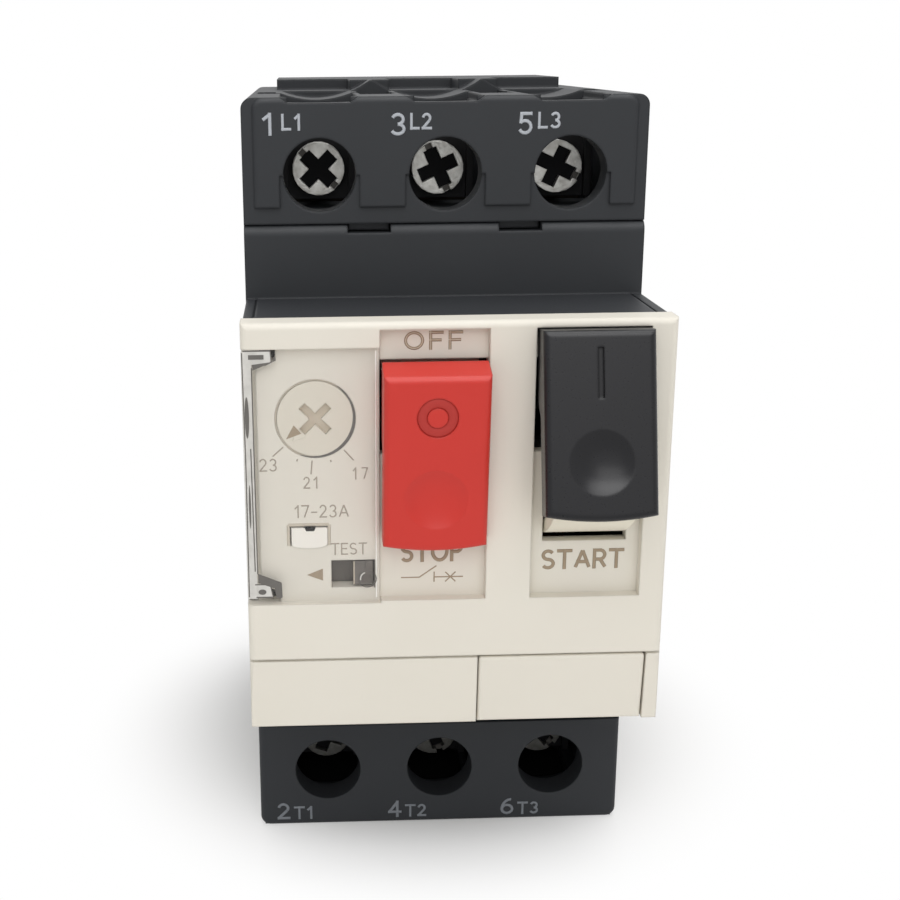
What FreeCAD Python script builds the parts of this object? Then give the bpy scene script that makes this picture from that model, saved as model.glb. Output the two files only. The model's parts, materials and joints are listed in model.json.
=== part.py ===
import FreeCAD, Part
import math
import os

os.makedirs("parts", exist_ok=True)
Vec = FreeCAD.Vector

# Manual motor starter with push keys, three poles, millimetres.
# Y = 0 is the front of the mounting rail, Z = 0 its centre line, the front faces -Y.

# Body
pole_count = 3
pole_pitch = 13.8
side_margin = 1.55          # from the outer pole's space to the side of the body
base_depth = 34.0           # rail seat to the parting line
shoulder_depth = 16.0       # parting line to the shoulders' face
nose_depth = 16.0           # shoulders' face to the cover's face
rear_depth = 5.0            # rail seat to the rear face
seam_height = 30.5          # rail centre to the seam of each terminal cover
block_height = 13.6         # each terminal block beyond its seam
nose_half_height = 22.5
ridge_rise = 1.3            # rear ridge over the top of the base
ridge_inset = 3.5
ridge_depth = 19.0
ridge_block_over = 0.5      # ridge past the sides of each vent
nose_line = 0.2             # groove along each side of the nose's top
nose_line_inset = 1.0
wall = 2.0
rear_wall = 3.0             # behind the contacts
partition = 1.6             # between two poles
end_wall = 2.5              # between the contact space and the terminals
corner_round = 1.2
play = 0.3                  # between moving pieces
fit_gap = 0.05              # shaft in its hole, on the radius
seat_gap = 0.15             # plate in its recess
past = 1.0                  # cutters run past a face by this
sunk = 0.5                  # joined shapes sink in each other by this
stud_sides = 10             # flats of small round bars inside

# Terminals
line_screw_inset = 8.3      # screw centre from the end of the body
load_screw_inset = 7.6
hole_radius = 4.0
raised_face = 0.4           # raised panel round the holes
raised_margin = 1.15
raised_base = 1.85          # seam to the raised panel
hole_relief = 0.4           # relief in the raised panel beside each hole
front_wall = 3.6
cavity_half = 5.7
cavity_floor = 0.9
cavity_roof = 1.6
plate_sink = 0.8
plate_thick = 1.2
plate_half = 4.3
plate_end = 1.8             # plate's end from the end of the body
ear_long = 1.9
ear_short = 0.9
ear_height = 2.4
wire_gap = 4.4
clamp_thick = 1.2
clamp_half = 3.6
clamp_lip = 0.8
head_thick = 2.2
head_radius = 3.0
head_sides = 24
head_lip = 1.0              # side lips of the clamp beside the head
cross_arm = 2.3             # cross recess in the head
cross_arm_width = 1.6
cross_arm_depth = 1.5
head_slot = 0.8
head_slot_depth = 0.8
head_turns = {1: (45, 66, 25), -1: (20, 70, 50)}
shank_radius = 1.95
shank_length = 15.0
shank_hole = 2.6
tip_room = 1.5
entry_half = 4.15
entry_reach = 8.4           # wire entry ahead of the parting line
entry_arc = 6.2
funnel_depth = 0.8
funnel_lip = 0.7
funnel_front = 3.4
funnel_back = 4.3
funnel_flare = 2.5
stepped_sides = (1,)        # the line end's face has a raised panel and wire dips
lip_drop = 0.6
lip_flank = 1.0             # sloped side of the lip
lip_round = 0.6
trough_half = 4.25          # wire trough behind each entry
trough_depth = 0.8
trough_length = 12.0
vent_half = 2.0
vent_depth = 4.0
vent_length = 7.5           # behind the parting line
vent_reach = 6.0            # ahead of the parting line
vent_wall = 1.35
tab_place = 8.4
tab_half = 2.4
tab_drop = 1.0
tab_set_back = 1.6
tab_thick = 1.4

# Rail recess and latch
rail_width = 35.0
rail_play = 0.2
rail_lip = 1.3              # room for the rail's edge
hook_bite = 1.3
hook_slope = 0.5
latch_root = 0.5            # latch's hook sunk in its plate
latch_half = 8.0
latch_thick = 3.0
latch_ledge = 1.2           # guide ledges over the latch's sides
latch_clear = 0.2
latch_foot = 0.2            # latch short of the body's end
latch_lead = 1.0            # channel up into the rail recess
latch_floor = 1.0
latch_travel = 3.5
latch_window_half = 3.0
latch_window_top = 23.5     # below the rail centre
latch_window_height = 11.0
peg_half = 2.4
peg_height = 3.0
pull_slot = 4.6
pull_slot_height = 1.3
pull_slot_up = 2.4
spring_thick = 0.4
spring_half = 2.2
spring_wave = 1.0
spring_folds = 4

# Nose and cover
nose_inset = 0.1
nose_drop = 0.2
nose_wall = 1.6
cover_depth = 3.4
cover_overhang = 0.1
cover_joint = 0.1
cover_wall = 2.8
cover_round = 0.7
well_depth = 1.3
well_top = 21.7
well_bottom = -7.65
stop_well = (-8.2, 3.05)
start_well = (7.8, 19.58)
key_opening = (8.3, 18.4)
window_inset = 1.4          # lower window from the well's sides
window_bottom = -1.7
strip_top = -14.35
strip_lean = 0.8
seam_groove = 0.25
seam_groove_depth = 0.4
plate_left = 2.35
plate_right = 20.76
clip_width = 4.0
clip_depth = 2.6
clip_thick = 1.0
lid_lip = 0.5               # cover's rim over the nose's wall
pin_room = 0.2              # past the end of each hinge pin

# Setting panel
panel_right = -8.2
panel_top = 19.85
panel_bottom = -7.9
panel_depth = 1.0
panel_overlap = 0.1         # setting panel into the well's side
dial_place = (-14.85, 12.3)
dial_radius = 4.0
dial_gap = 0.2
dial_flange = 5.0
dial_flange_thick = 1.0
cam_radius = 2.6
cam_throw = 0.9
cam_thick = 2.0
cam_sides = 16
bracket_ahead = 1.0         # cam to the bracket
dial_shaft = 1.5
cross_half = 1.95
cross_width = 0.85
cross_depth = 0.5
arrow_reach = 3.35
arrow_length = 1.25
arrow_half = 0.6
arrow_depth = 0.3
bracket_thick = 1.5
seal_window = (-17.86, -13.58, -1.57, 0.75)
seal_flange = 0.75
seal_flange_thick = 0.9
seal_proud = 0.1
seal_foot = 0.1
seal_notch = (0.65, 0.45, 0.75)
test_window = (-13.37, -8.72, -6.4, -3.3)
test_knob = 2.1
test_gap = 0.2
test_plate_thick = 1.0
test_plate_left = 2.4
test_plate_right = 1.1
test_plate_low = 1.0
test_plate_high = 0.6
test_leg = 1.3
test_leg_reach = 1.0
flap_thick = 0.85
flap_leg = 1.3              # flap's hinge leg along X
flap_axis_depth = 2.0
flap_pin = 0.45
flap_pin_length = 0.7
notch_depth = 2.9
corner_cut = 3.5
corner_high = 1.25
corner_low = 2.5
eyelet_outer = 1.0
eyelet_inner = 0.5
eyelet_rise = 0.5
eyelet_place = (-9.6, -4.9)

# Keys: drawn upright, face ahead of the shaft, then swung to rest
shaft_depth = 8.4           # behind the cover's face
shaft_height = 15.85
shaft_radius = 1.5
key_gap = 0.2               # key to the side of its well
face_ahead = 12.2
face_top = 2.94
face_bottom = -16.2
key_wall = 2.7
key_head = 3.7
key_head_rise = 0.6         # top of the key, from its face to its back
key_head_bottom = -4.5
key_head_step = 1.0
key_bow = 0.55              # bulge of the key's lower end
key_round = 0.7
dish_down = 13.2            # from the top of the face
dish_radius = 3.3
dish_depth = 0.9
mark_down = 4.2
mark_outer = 2.1
mark_inner = 1.05
mark_depth = 0.35
bar_length = 5.1
bar_width = 0.6
stop_rest = -6.0            # tilt at rest, bottom out is positive
start_rest = 15.0
hub_radius = 3.2
web_top = 0.2
web_bottom = -4.3
web_rise = 0.6
web_root = 1.0
hub_trim = 0.3              # web's root inside the hub
rib_thick = 1.2
rib_inner = -6.0
skirt_radius = 18.0
skirt_thick = 1.4
skirt_start = 0.9           # above the bottom of the face
skirt_end = 86.0            # degrees below the forward direction
arm_reach = 10.0
arm_half = 1.0
arm_width = 3.0
arm_tail = 1.2
lug_thick = 1.3
lug_front = 2.6
lug_back = 3.6
lug_drop = 2.6

# Changeover beam
beam_tip = 1.1
beam_half = 1.0
beam_height = 3.4
beam_gap = 0.5
pin_radius = 1.0
pin_head = 1.8
pin_head_thick = 1.0
pin_seat = 4.0
end_room = 0.2              # at the end of a pin or shaft
shaft_seat = 0.9            # shaft's end from the side of the nose

# Contacts
contact_gap = 3.05
contact_radius = 2.0
contact_thick = 1.0
contact_place = 9.0
strip_half = 3.5
strip_thick = 1.2
bridge_half = 2.4
bridge_over = 2.6
bridge_thick = 1.2
bridge_room = 0.2
leaf_room = 2.1
leaf_thick = 0.3
leaf_half = 4.0
leaf_inset = 0.4
carrier_half_height = 5.2
carrier_depth = 5.4
carrier_slot = 0.25
carrier_side = 0.6
prong = 1.0
prong_inset = 1.0
post_half = 1.5
post_low = 2.0
post_gap = 0.8
post_room = 0.6
line_drop = 2.0             # line conductor below the end of its chamber
load_drop = 3.5
load_out = 1.0
load_lead_gap = 2.8         # load conductor to the shoulders' wall
strip_past = 3.0            # strip past its contact
chute_half = 4.8
chute_cheek = 0.9
chute_plate = 0.8
chute_count = 4
chute_start = 14.0
chute_clear = 0.15          # chutes to the load contact's strip
chute_lip = 0.5
chute_mouth = 2.6
chute_mouth_depth = 7.0
chute_front = 27.0          # ahead of the rail seat
chute_back = 8.0

# Trips
coil_clear = 1.2            # coil over the bimetal's lead
coil_outer = 4.5
coil_inner = 3.0
coil_turn = 2.0
coil_pitch = 3.2
coil_turns = 4
coil_sides = 8
coil_link = 1.0
coil_lead = 1.2
coil_lead_up = 0.6
coil_rear = 31.0            # ahead of the rail seat
striker_radius = 2.4
striker_over = 3.0
striker_back = 0.5
bimetal_thick = 0.8
bimetal_width = 5.0
bimetal_back = 6.0          # behind the cover's face
bimetal_top = -10.5
bimetal_foot = 2.0
bimetal_foot_thick = 1.2
lead_half = 1.5
lead_thick = 1.0
heater_up = 2.0
heater_turns = 4
heater_pitch = 1.6
heater_turn = 1.0
heater_wrap = 1.0
trip_bar_low = -9.5
trip_bar_height = 2.0
trip_bar_back = 6.0
trip_bar_thick = 2.5
trip_bar_left = -17.4
trip_bar_right = 19.2
ledge_half = 0.9
ledge_left = 2.0            # ledges under the ends of the bar
ledge_right = 4.0
finger_gap = 0.5
finger_width = 1.1
finger_root = 0.4
finger_reach = 1.0
finger_drop = 2.0
push_gap = 0.4              # slider's leg to the bar's lug
push_thick = 1.4
push_rise = 2.0
ledge_thick = 1.8
mech_plate_ahead = 45.0
mech_plate_thick = 1.5
mech_plate_low = -6.0
mech_plate_high = 20.2
mech_rib = 1.2
mech_rib_reach = 1.0
latch_pivot = (17.0, 1.0)
latch_pivot_radius = 1.2
latch_hub = 2.2
latch_lever_thick = 3.0
latch_boss_over = 1.2
latch_gap = 0.35
latch_tail = 0.8
latch_tail_drop = 7.5
latch_hook_root = 1.5
latch_hook_rise = 5.5
latch_hook_low = 3.8
latch_hook_thick = 1.6
latch_stop_drop = 6.0
latch_stop_back = 1.8
lever_pivot = (-18.3, 5.5)
lever_pin = 1.0
lever_hub = 1.8
lever_thick = 1.6
lever_gap = 0.4             # lever to the cam
lever_arm = 1.2
lever_over = 1.5
lever_hub_over = 0.6
lever_pin_over = 1.4
lever_tail = 0.9
lever_tail_drop = 7.0

# Places worked out from the sizes above
half_width = pole_count * pole_pitch / 2 + side_margin
poles = [(i - (pole_count - 1) / 2) * pole_pitch for i in range(pole_count)]
pole_edges = [x - pole_pitch / 2 for x in poles] + [poles[-1] + pole_pitch / 2]
y_part = -base_depth
y_shoulder = y_part - shoulder_depth
y_cover = y_shoulder - nose_depth
y_inner = y_cover + cover_wall
y_floor = y_cover + well_depth
y_plate = y_part + plate_sink
y_plate_back = y_plate + plate_thick
y_clamp_back = y_plate - wire_gap
y_head_back = y_clamp_back - clamp_thick
z_end = seam_height + block_height
screw_places = {1: z_end - line_screw_inset, -1: z_end - load_screw_inset}
chamber_half = seam_height - end_wall
rail_half = rail_width / 2 + rail_play
nose_half = half_width - nose_inset
nose_inner = nose_half - nose_wall
nose_high = nose_half_height - nose_drop
nose_inner_high = nose_high - nose_wall
shaft_y = y_cover + shaft_depth
y_strip = -rear_wall - strip_thick
y_fixed = y_strip - contact_thick
y_bridge = y_fixed - contact_gap - contact_thick
y_leaf = y_bridge - bridge_thick
y_carrier = y_leaf - leaf_room
stop_x = sum(stop_well) / 2
start_x = sum(start_well) / 2
beam_x = (stop_x + start_x) / 2
beam_reach = (start_x - stop_x) / 2
swing_middle = math.radians((stop_rest + start_rest) / 2)
swing_half = math.radians((start_rest - stop_rest) / 2)
arm_middle = shaft_y - arm_reach * math.sin(swing_middle) + arm_half
beam_y = arm_middle + beam_gap + beam_tip
beam_turn = math.asin(arm_reach * math.sin(swing_half) / beam_reach)
latch_top = rail_half - hook_bite
coil_drop = nose_inner_high - lead_thick - coil_clear - coil_outer
line_run = chamber_half - line_drop
load_run = chamber_half - load_drop
load_lead = y_shoulder + wall + load_lead_gap + strip_thick / 2
chute_room = load_run - strip_thick / 2 - chute_clear - chute_lip - chute_start
chute_pitch = (chute_room - chute_plate) / (chute_count - 1)
post_x = beam_x + (contact_gap - fit_gap) / (2 * math.sin(beam_turn))
post_top = shaft_height - arm_reach + beam_height / 2
bracket_front = y_inner + 3 * play + dial_flange_thick + cam_thick + bracket_ahead
coil_front = -coil_rear - coil_turn - (coil_turns - 1) * coil_pitch


def box(x, y, z):
    return Part.makeBox(x[1] - x[0], y[1] - y[0], z[1] - z[0], Vec(x[0], y[0], z[0]))


def rod_x(y, z, radius, x0, x1):
    return Part.makeCylinder(radius, x1 - x0, Vec(x0, y, z), Vec(1, 0, 0))


def rod_y(x, z, radius, y0, y1):
    return Part.makeCylinder(radius, y1 - y0, Vec(x, y0, z), Vec(0, 1, 0))


def rod_z(x, y, radius, z0, z1):
    return Part.makeCylinder(radius, z1 - z0, Vec(x, y, z0), Vec(0, 0, 1))


def outline(points):
    return Part.Face(Part.makePolygon(points + points[:1]))


def slab_x(points, x0, x1):
    return outline([Vec(x0, y, z) for y, z in points]).extrude(Vec(x1 - x0, 0, 0))


def slab_y(points, y0, y1):
    return outline([Vec(x, y0, z) for x, z in points]).extrude(Vec(0, y1 - y0, 0))


def slab_z(points, z0, z1):
    return outline([Vec(x, y, z0) for x, y in points]).extrude(Vec(0, 0, z1 - z0))


def ring(centre, radius, sides):
    step = 2 * math.pi / sides
    turns = [(i + 0.5) * step for i in range(sides)]
    return [(centre[0] + radius * math.cos(t), centre[1] + radius * math.sin(t)) for t in turns]


def stud_y(x, z, radius, y0, y1, sides=stud_sides):
    return slab_y(ring((x, z), radius, sides), y0, y1)


def stud_z(x, y, radius, z0, z1, sides=stud_sides):
    return slab_z(ring((x, y), radius, sides), z0, z1)


def join(shapes):
    return shapes[0].multiFuse(shapes[1:]).removeSplitter()


def cut(shape, tools):
    return shape.cut(tools).removeSplitter()


def about(centre, half):
    return (centre - half, centre + half)


def up(side, low, high):
    # a height range measured from the rail centre, above it (side 1) or below it (side -1)
    return (low, high) if side > 0 else (-high, -low)


def round_edges(shape, radius, wanted):
    return shape.makeFillet(radius, [edge for edge in shape.Edges if wanted(edge.CenterOfMass, edge)])


def runs_along(edge, axis):
    ends = edge.Vertexes
    return len(ends) == 2 and abs((ends[1].Point - ends[0].Point).normalize().dot(axis)) > 0.999


def bent_strip(path, half, x, thick):
    # flat strip through the corner points (y, z) of its middle line, with square bends
    pieces = []
    for (y0, z0), (y1, z1) in zip(path, path[1:]):
        y = (min(y0, y1) - thick / 2, max(y0, y1) + thick / 2)
        z = (min(z0, z1) - thick / 2, max(z0, z1) + thick / 2)
        pieces.append(box(about(x, half), y, z))
    return join(pieces)


# Housing

def rear_base():
    body = box((-half_width, half_width), (y_part, rear_depth), (-z_end, z_end))
    body = round_edges(body, corner_round, lambda c, e: runs_along(e, Vec(0, 1, 0)))
    ridge_x = (-half_width + ridge_inset, half_width - ridge_inset)
    ridge_z = (z_end - sunk, z_end + ridge_rise)
    ridge_front = rear_depth - ridge_depth
    ridges = [box(ridge_x, (ridge_front, rear_depth), ridge_z)]
    for x in pole_edges[1:-1]:
        block_x = about(x, vent_half + ridge_block_over)
        ridges.append(box(block_x, (y_part + vent_length, ridge_front + sunk), ridge_z))
    body = join([body] + ridges)
    front = y_part - past
    inside = half_width - wall
    tools = []
    for i in range(pole_count):
        left = -inside if i == 0 else pole_edges[i] + partition / 2
        right = inside if i == pole_count - 1 else pole_edges[i + 1] - partition / 2
        tools.append(box((left, right), (front, -rear_wall), (-chamber_half, chamber_half)))
    slot = carrier_half_height + carrier_slot
    tools.append(box((-inside, inside), (front, y_bridge), (-slot, slot)))
    trough_radius = (trough_half ** 2 + trough_depth ** 2) / (2 * trough_depth)
    for side in (1, -1):
        tip = y_head_back + shank_length + wire_gap + tip_room
        plate_z = up(side, chamber_half - past, z_end + past)
        ear_z = up(side, z_end - plate_end - ear_height - seat_gap, z_end + past)
        for x in poles:
            tools.append(box(about(x, plate_half + seat_gap), (front, y_plate_back), plate_z))
            ears = (x - plate_half - ear_short - seat_gap, x + plate_half + ear_long + seat_gap)
            tools.append(box(ears, (front, y_plate_back), ear_z))
            tools.append(stud_y(x, side * screw_places[side], shank_hole, y_plate_back - sunk, tip))
            middle = side * (z_end - trough_depth + trough_radius)
            tools.append(rod_y(x, middle, trough_radius, front, y_part + trough_length))
        limit = half_width - vent_wall
        vent_z = up(side, z_end - vent_depth, z_end + past)
        for x in pole_edges:
            span = (max(x - vent_half, -limit), min(x + vent_half, limit))
            tools.append(box(span, (front, y_part + vent_length), vent_z))
    rear = rear_depth + past
    bite = rail_half - hook_bite
    rail = [(0, -rail_half), (0, rail_half), (rail_lip, rail_half), (rail_lip, bite),
            (rear, bite - hook_slope), (rear, -rail_half)]
    tools.append(slab_x(rail, -half_width - past, half_width + past))
    guide = latch_half + latch_clear
    channel = (latch_floor, latch_floor + latch_thick + 2 * latch_clear)
    fall = (-z_end - past, -rail_half + latch_lead)
    tools.append(box((-guide, guide), channel, fall))
    tools.append(box((-guide + latch_ledge, guide - latch_ledge), (channel[1] - sunk, rear), fall))
    body = cut(body, tools)
    foot = latch_window_top + latch_window_height
    peg_y = (latch_floor - sunk, latch_floor + latch_thick)
    return join([body, box((-peg_half, peg_half), peg_y, (-foot + play, -foot + peg_height))])


def end_block(side, half, y, low):
    block = box((-half, half), y, up(side, low, z_end))
    return round_edges(block, corner_round,
                       lambda c, e: runs_along(e, Vec(0, 1, 0)) and abs(c.z) > z_end - past)


def round_brow(block):
    brow = z_end - corner_round
    return round_edges(block, lip_round, lambda c, e: c.y < y_shoulder + fit_gap and abs(c.z) > brow)


def raised_panel(side):
    low = seam_height + raised_base
    y = (y_shoulder, y_shoulder + raised_face + sunk)
    panel = round_brow(end_block(side, half_width - raised_margin, y, low))
    relief_y = (y_shoulder - past, y_shoulder + raised_face)
    reliefs = [box(about(x, hole_radius + hole_relief), relief_y, up(side, low - past, screw_places[side]))
               for x in poles]
    return cut(panel, reliefs)


def terminal_cover(side):
    stepped = side in stepped_sides
    if stepped:
        body = end_block(side, half_width, (y_shoulder + raised_face, y_part), seam_height)
        body = join([body, raised_panel(side)])
    else:
        body = round_brow(end_block(side, half_width, (y_shoulder, y_part), seam_height))
    front = y_shoulder - past
    back = y_part + past
    lip = y_shoulder + raised_face + funnel_lip
    mouth_front = y_part - entry_reach
    mouth_back = mouth_front + entry_arc
    mouth = up(side, z_end - cavity_roof - past, z_end + past)
    room = up(side, seam_height + cavity_floor, z_end - cavity_roof)
    tools = []
    for x in poles:
        tools.append(box(about(x, cavity_half), (y_shoulder + front_wall, back), room))
        hole_z = side * screw_places[side]
        tools.append(rod_y(x, hole_z, hole_radius, front, y_shoulder + front_wall + past))
        curve = rod_z(x, mouth_back, entry_arc, mouth[0], mouth[1])
        tools.append(box(about(x, entry_half), (mouth_front, mouth_back), mouth).common(curve))
        tools.append(box(about(x, entry_half), (mouth_back, back), mouth))
        flare = [(x - funnel_front, lip), (x + funnel_front, lip), (x + funnel_back, lip + funnel_flare),
                 (x + funnel_back, back), (x - funnel_back, back), (x - funnel_back, lip + funnel_flare)]
        depth = up(side, z_end - funnel_depth, z_end + past)
        tools.append(slab_z(flare, depth[0], depth[1]))
        if stepped:
            foot = side * (z_end - lip_drop)
            brim = side * (z_end + lip_drop)
            wide = funnel_front + 2 * lip_flank
            dip = [(x - wide, brim), (x - funnel_front, foot), (x + funnel_front, foot), (x + wide, brim)]
            tools.append(slab_y(dip, front, lip))
    vent_z = up(side, z_end - vent_depth, z_end + past)
    for x in pole_edges[1:-1]:
        tools.append(box(about(x, vent_half), (y_part - vent_reach, back), vent_z))
    body = cut(body, tools)
    tab_y = (y_shoulder + tab_set_back, y_shoulder + tab_set_back + tab_thick)
    tab_z = up(side, seam_height - tab_drop + seat_gap, seam_height + sunk)
    tabs = [box(about(x, tab_half - seat_gap), tab_y, tab_z) for x in (-tab_place, tab_place)]
    return join([body] + tabs)


def key_lug(x0, x1, low):
    high = nose_high - sunk
    y = (shaft_y - lug_front, shaft_y + lug_back)
    return box((x0, x1), y, (low, high))


def front_housing():
    back = y_cover + cover_depth + cover_joint
    inside = half_width - wall
    body = box((-half_width, half_width), (y_shoulder, y_part), (-seam_height, seam_height))
    body = round_edges(body, corner_round, lambda c, e: runs_along(e, Vec(1, 0, 0)) and c.y < y_part - past)
    nose = box((-nose_half, nose_half), (back, y_shoulder + wall), (-nose_high, nose_high))
    hollow = [box((-inside, inside), (y_shoulder + wall, y_part + past), (-chamber_half, chamber_half)),
              box((-nose_inner, nose_inner), (back - past, y_part), (-nose_inner_high, nose_inner_high))]
    deep = y_shoulder + tab_set_back + tab_thick + seat_gap
    for side in (1, -1):
        notch = up(side, seam_height - tab_drop, seam_height + past)
        for x in (-tab_place, tab_place):
            hollow.append(box(about(x, tab_half), (y_shoulder - past, deep), notch))
        line_x = up(side, nose_half - nose_line_inset - nose_line, nose_half - nose_line_inset)
        hollow.append(box(line_x, (back - past, y_shoulder), (nose_high - nose_line, nose_high + past)))
    body = cut(join([body, nose]), hollow)
    beam_top = shaft_height - arm_reach + beam_height / 2 + play
    left_lug = stop_well[0] - key_gap - play
    extra = [key_lug(left_lug - lug_thick, left_lug, shaft_height - lug_drop),
             key_lug(stop_well[1] + play, start_well[0] - play, beam_top)]
    bracket = (bracket_front, bracket_front + bracket_thick)
    bracket_x = (-nose_inner - sunk, dial_place[0] + dial_radius)
    bracket_z = (lever_pivot[1] - lever_hub, dial_place[1] + dial_radius)
    extra.append(box(bracket_x, bracket, bracket_z))
    shelf = trip_bar_low - play
    shelf_y = about(y_cover + trip_bar_back + trip_bar_thick / 3, ledge_half)
    left_ledge = (-nose_inner - sunk, trip_bar_left + ledge_left)
    right_ledge = (trip_bar_right - ledge_right, nose_inner + sunk)
    for x in (left_ledge, right_ledge):
        extra.append(box(x, shelf_y, (shelf - ledge_thick, shelf)))
    rib_y = (-mech_plate_ahead, -mech_plate_ahead + mech_rib)
    for side in (1, -1):
        rib_x = up(side, inside - mech_rib_reach, inside + sunk)
        extra.append(box(rib_x, rib_y, (mech_plate_low, mech_plate_high)))
    body = join([body] + extra)
    bore = shaft_radius + fit_gap / 2
    hole = (bracket[0] - past, bracket[1] + past)
    shaft_end = nose_half - shaft_seat + end_room / 2
    tools = [rod_x(shaft_y, shaft_height, bore, left_lug - lug_thick - past, shaft_end),
             rod_z(beam_x, beam_y, pin_radius + fit_gap / 2, beam_top - past, beam_top + pin_seat),
             rod_y(dial_place[0], dial_place[1], dial_shaft + fit_gap, hole[0], hole[1]),
             rod_y(lever_pivot[0], lever_pivot[1], lever_pin + fit_gap, hole[0], hole[1])]
    return cut(body, tools)


# Cover and setting panel

def front_cover():
    half = half_width + cover_overhang
    high = nose_half_height
    front = y_cover - past
    through = y_inner + past
    rear = y_cover + cover_depth + past
    body = box((-half, half), (y_cover, y_cover + cover_depth), (-high, high))
    body = round_edges(body, cover_round, lambda c, e: c.y < y_inner and not runs_along(e, Vec(0, 1, 0)))
    rim = nose_inner_high - lid_lip
    tools = [box((-nose_inner, nose_inner), (y_inner, rear), (-rim, rim))]
    for well in (stop_well, start_well):
        tools.append(box(well, (front, y_floor), (well_bottom, well_top)))
        tools.append(box(well, (front, through), key_opening))
        window = (well[0] + window_inset, well[1] - window_inset)
        tools.append(box(window, (front, through), (window_bottom, key_opening[0] + past)))
    panel = (panel_bottom, panel_top)
    tools.append(box((-half - past, panel_right + panel_overlap), (front, y_cover + panel_depth), panel))
    leg = -half + flap_leg + seat_gap
    notch = (front, y_cover + notch_depth)
    tools.append(box((-half - past, leg), notch, panel))
    tools.append(rod_y(dial_place[0], dial_place[1], dial_radius + dial_gap, front, through))
    for x0, x1, z0, z1 in (seal_window, test_window):
        tools.append(box((x0, x1), (front, through), (z0, z1)))
    corner = -half + corner_cut
    for end, inward in ((panel_top, -1), (panel_bottom, 1)):
        shape = [(-half - past, end), (corner, end), (corner, end + inward * corner_high),
                 (-half - past, end + inward * corner_low)]
        tools.append(slab_y(shape, notch[0], notch[1]))
        reach = (end - inward * (flap_pin_length + pin_room), end + inward * sunk)
        pivot = (-half + flap_leg / 2, y_cover + flap_axis_depth)
        tools.append(rod_z(pivot[0], pivot[1], flap_pin + fit_gap, min(reach), max(reach)))
    low = -high - past
    lean = [(front, strip_top), (y_cover, strip_top), (y_cover + strip_lean, low), (front, low)]
    tools.append(slab_x(lean, -half - past, half + past))
    groove = about(strip_top, seam_groove / 2)
    tools.append(box((-half - past, half + past), (front, y_cover + seam_groove_depth), groove))
    tools.append(box((plate_left, plate_right), (front, rear), (low, strip_top)))
    body = cut(body, tools)
    clip_y = (y_inner - sunk, y_inner + clip_depth)
    clip_high = nose_inner_high - seat_gap
    clips = []
    for side, x in ((1, dial_place[0]), (1, beam_x), (-1, dial_place[0]), (-1, stop_x)):
        clips.append(box(about(x, clip_width / 2), clip_y, up(side, clip_high - clip_thick, clip_high)))
    return join([body] + clips)


def blanking_plate():
    x = (plate_left + seat_gap, plate_right - seat_gap)
    low = -nose_half_height
    high = strip_top - seat_gap
    profile = [(y_cover, high), (y_cover + strip_lean, low), (y_inner, low), (y_inner, high)]
    body = slab_x(profile, x[0], x[1])
    body = round_edges(body, key_round / 2, lambda c, e: c.y < y_inner - past)
    clip = nose_inner_high - seat_gap
    clip_y = (y_inner - sunk, y_inner + clip_depth)
    clips = [box(about(c, clip_width / 2), clip_y, (-clip, -clip + clip_thick))
             for c in (x[0] + clip_width, x[1] - clip_width)]
    return join([body] + clips)


def clear_cover():
    x0 = -half_width - cover_overhang
    x1 = panel_right - seat_gap
    z = (panel_bottom + seat_gap, panel_top - seat_gap)
    pivot = (x0 + flap_leg / 2, y_cover + flap_axis_depth)
    plate = box((x0, x1), (y_cover, y_cover + flap_thick), z)
    leg = box((x0, x0 + flap_leg), (y_cover, pivot[1]), z)
    pieces = [plate, leg, rod_z(pivot[0], pivot[1], flap_leg / 2, z[0], z[1])]
    pieces.append(rod_z(pivot[0], pivot[1], flap_pin, z[0] - flap_pin_length, z[0] + sunk))
    pieces.append(rod_z(pivot[0], pivot[1], flap_pin, z[1] - sunk, z[1] + flap_pin_length))
    lug_x = (x0, x0 + corner_cut - 2 * play)
    lug_y = (y_cover, y_cover + 2 * flap_thick)
    pieces.append(box(lug_x, lug_y, (z[1] - corner_high + play, z[1])))
    pieces.append(box(lug_x, lug_y, (z[0], z[0] + corner_high - play)))
    eye_x, eye_z = eyelet_place
    pieces.append(rod_y(eye_x, eye_z, eyelet_outer, y_cover - eyelet_rise, y_cover + flap_thick))
    hole = rod_y(eye_x, eye_z, eyelet_inner, y_cover - eyelet_rise - past, y_cover + flap_thick + past)
    return cut(join(pieces), [hole])


def setting_dial():
    x, z = dial_place
    face = y_cover + panel_depth
    y1 = y_inner + play
    y2 = y1 + dial_flange_thick
    y3 = y2 + cam_thick
    shaft_end = bracket_front + bracket_thick - play
    dial = join([rod_y(x, z, dial_radius, face, y1), stud_y(x, z, dial_flange, y1, y2, cam_sides),
                 stud_y(x - cam_throw, z, cam_radius, y2, y3, cam_sides),
                 rod_y(x, z, dial_shaft, y3, shaft_end)])
    turn = Vec(0, 1, 0)
    place = Vec(x, 0, z)
    tools = []
    for long_x, long_z in ((cross_half, cross_width / 2), (cross_width / 2, cross_half)):
        arm = box(about(x, long_x), (face - past, face + cross_depth), about(z, long_z))
        tools.append(arm.rotate(place, turn, 45))
    base = x - arrow_reach + arrow_length
    arrow = slab_y([(x - arrow_reach, z), (base, z + arrow_half), (base, z - arrow_half)],
                   face - past, face + arrow_depth)
    tools.append(arrow.rotate(place, turn, -45))
    return cut(dial, tools)


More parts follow.
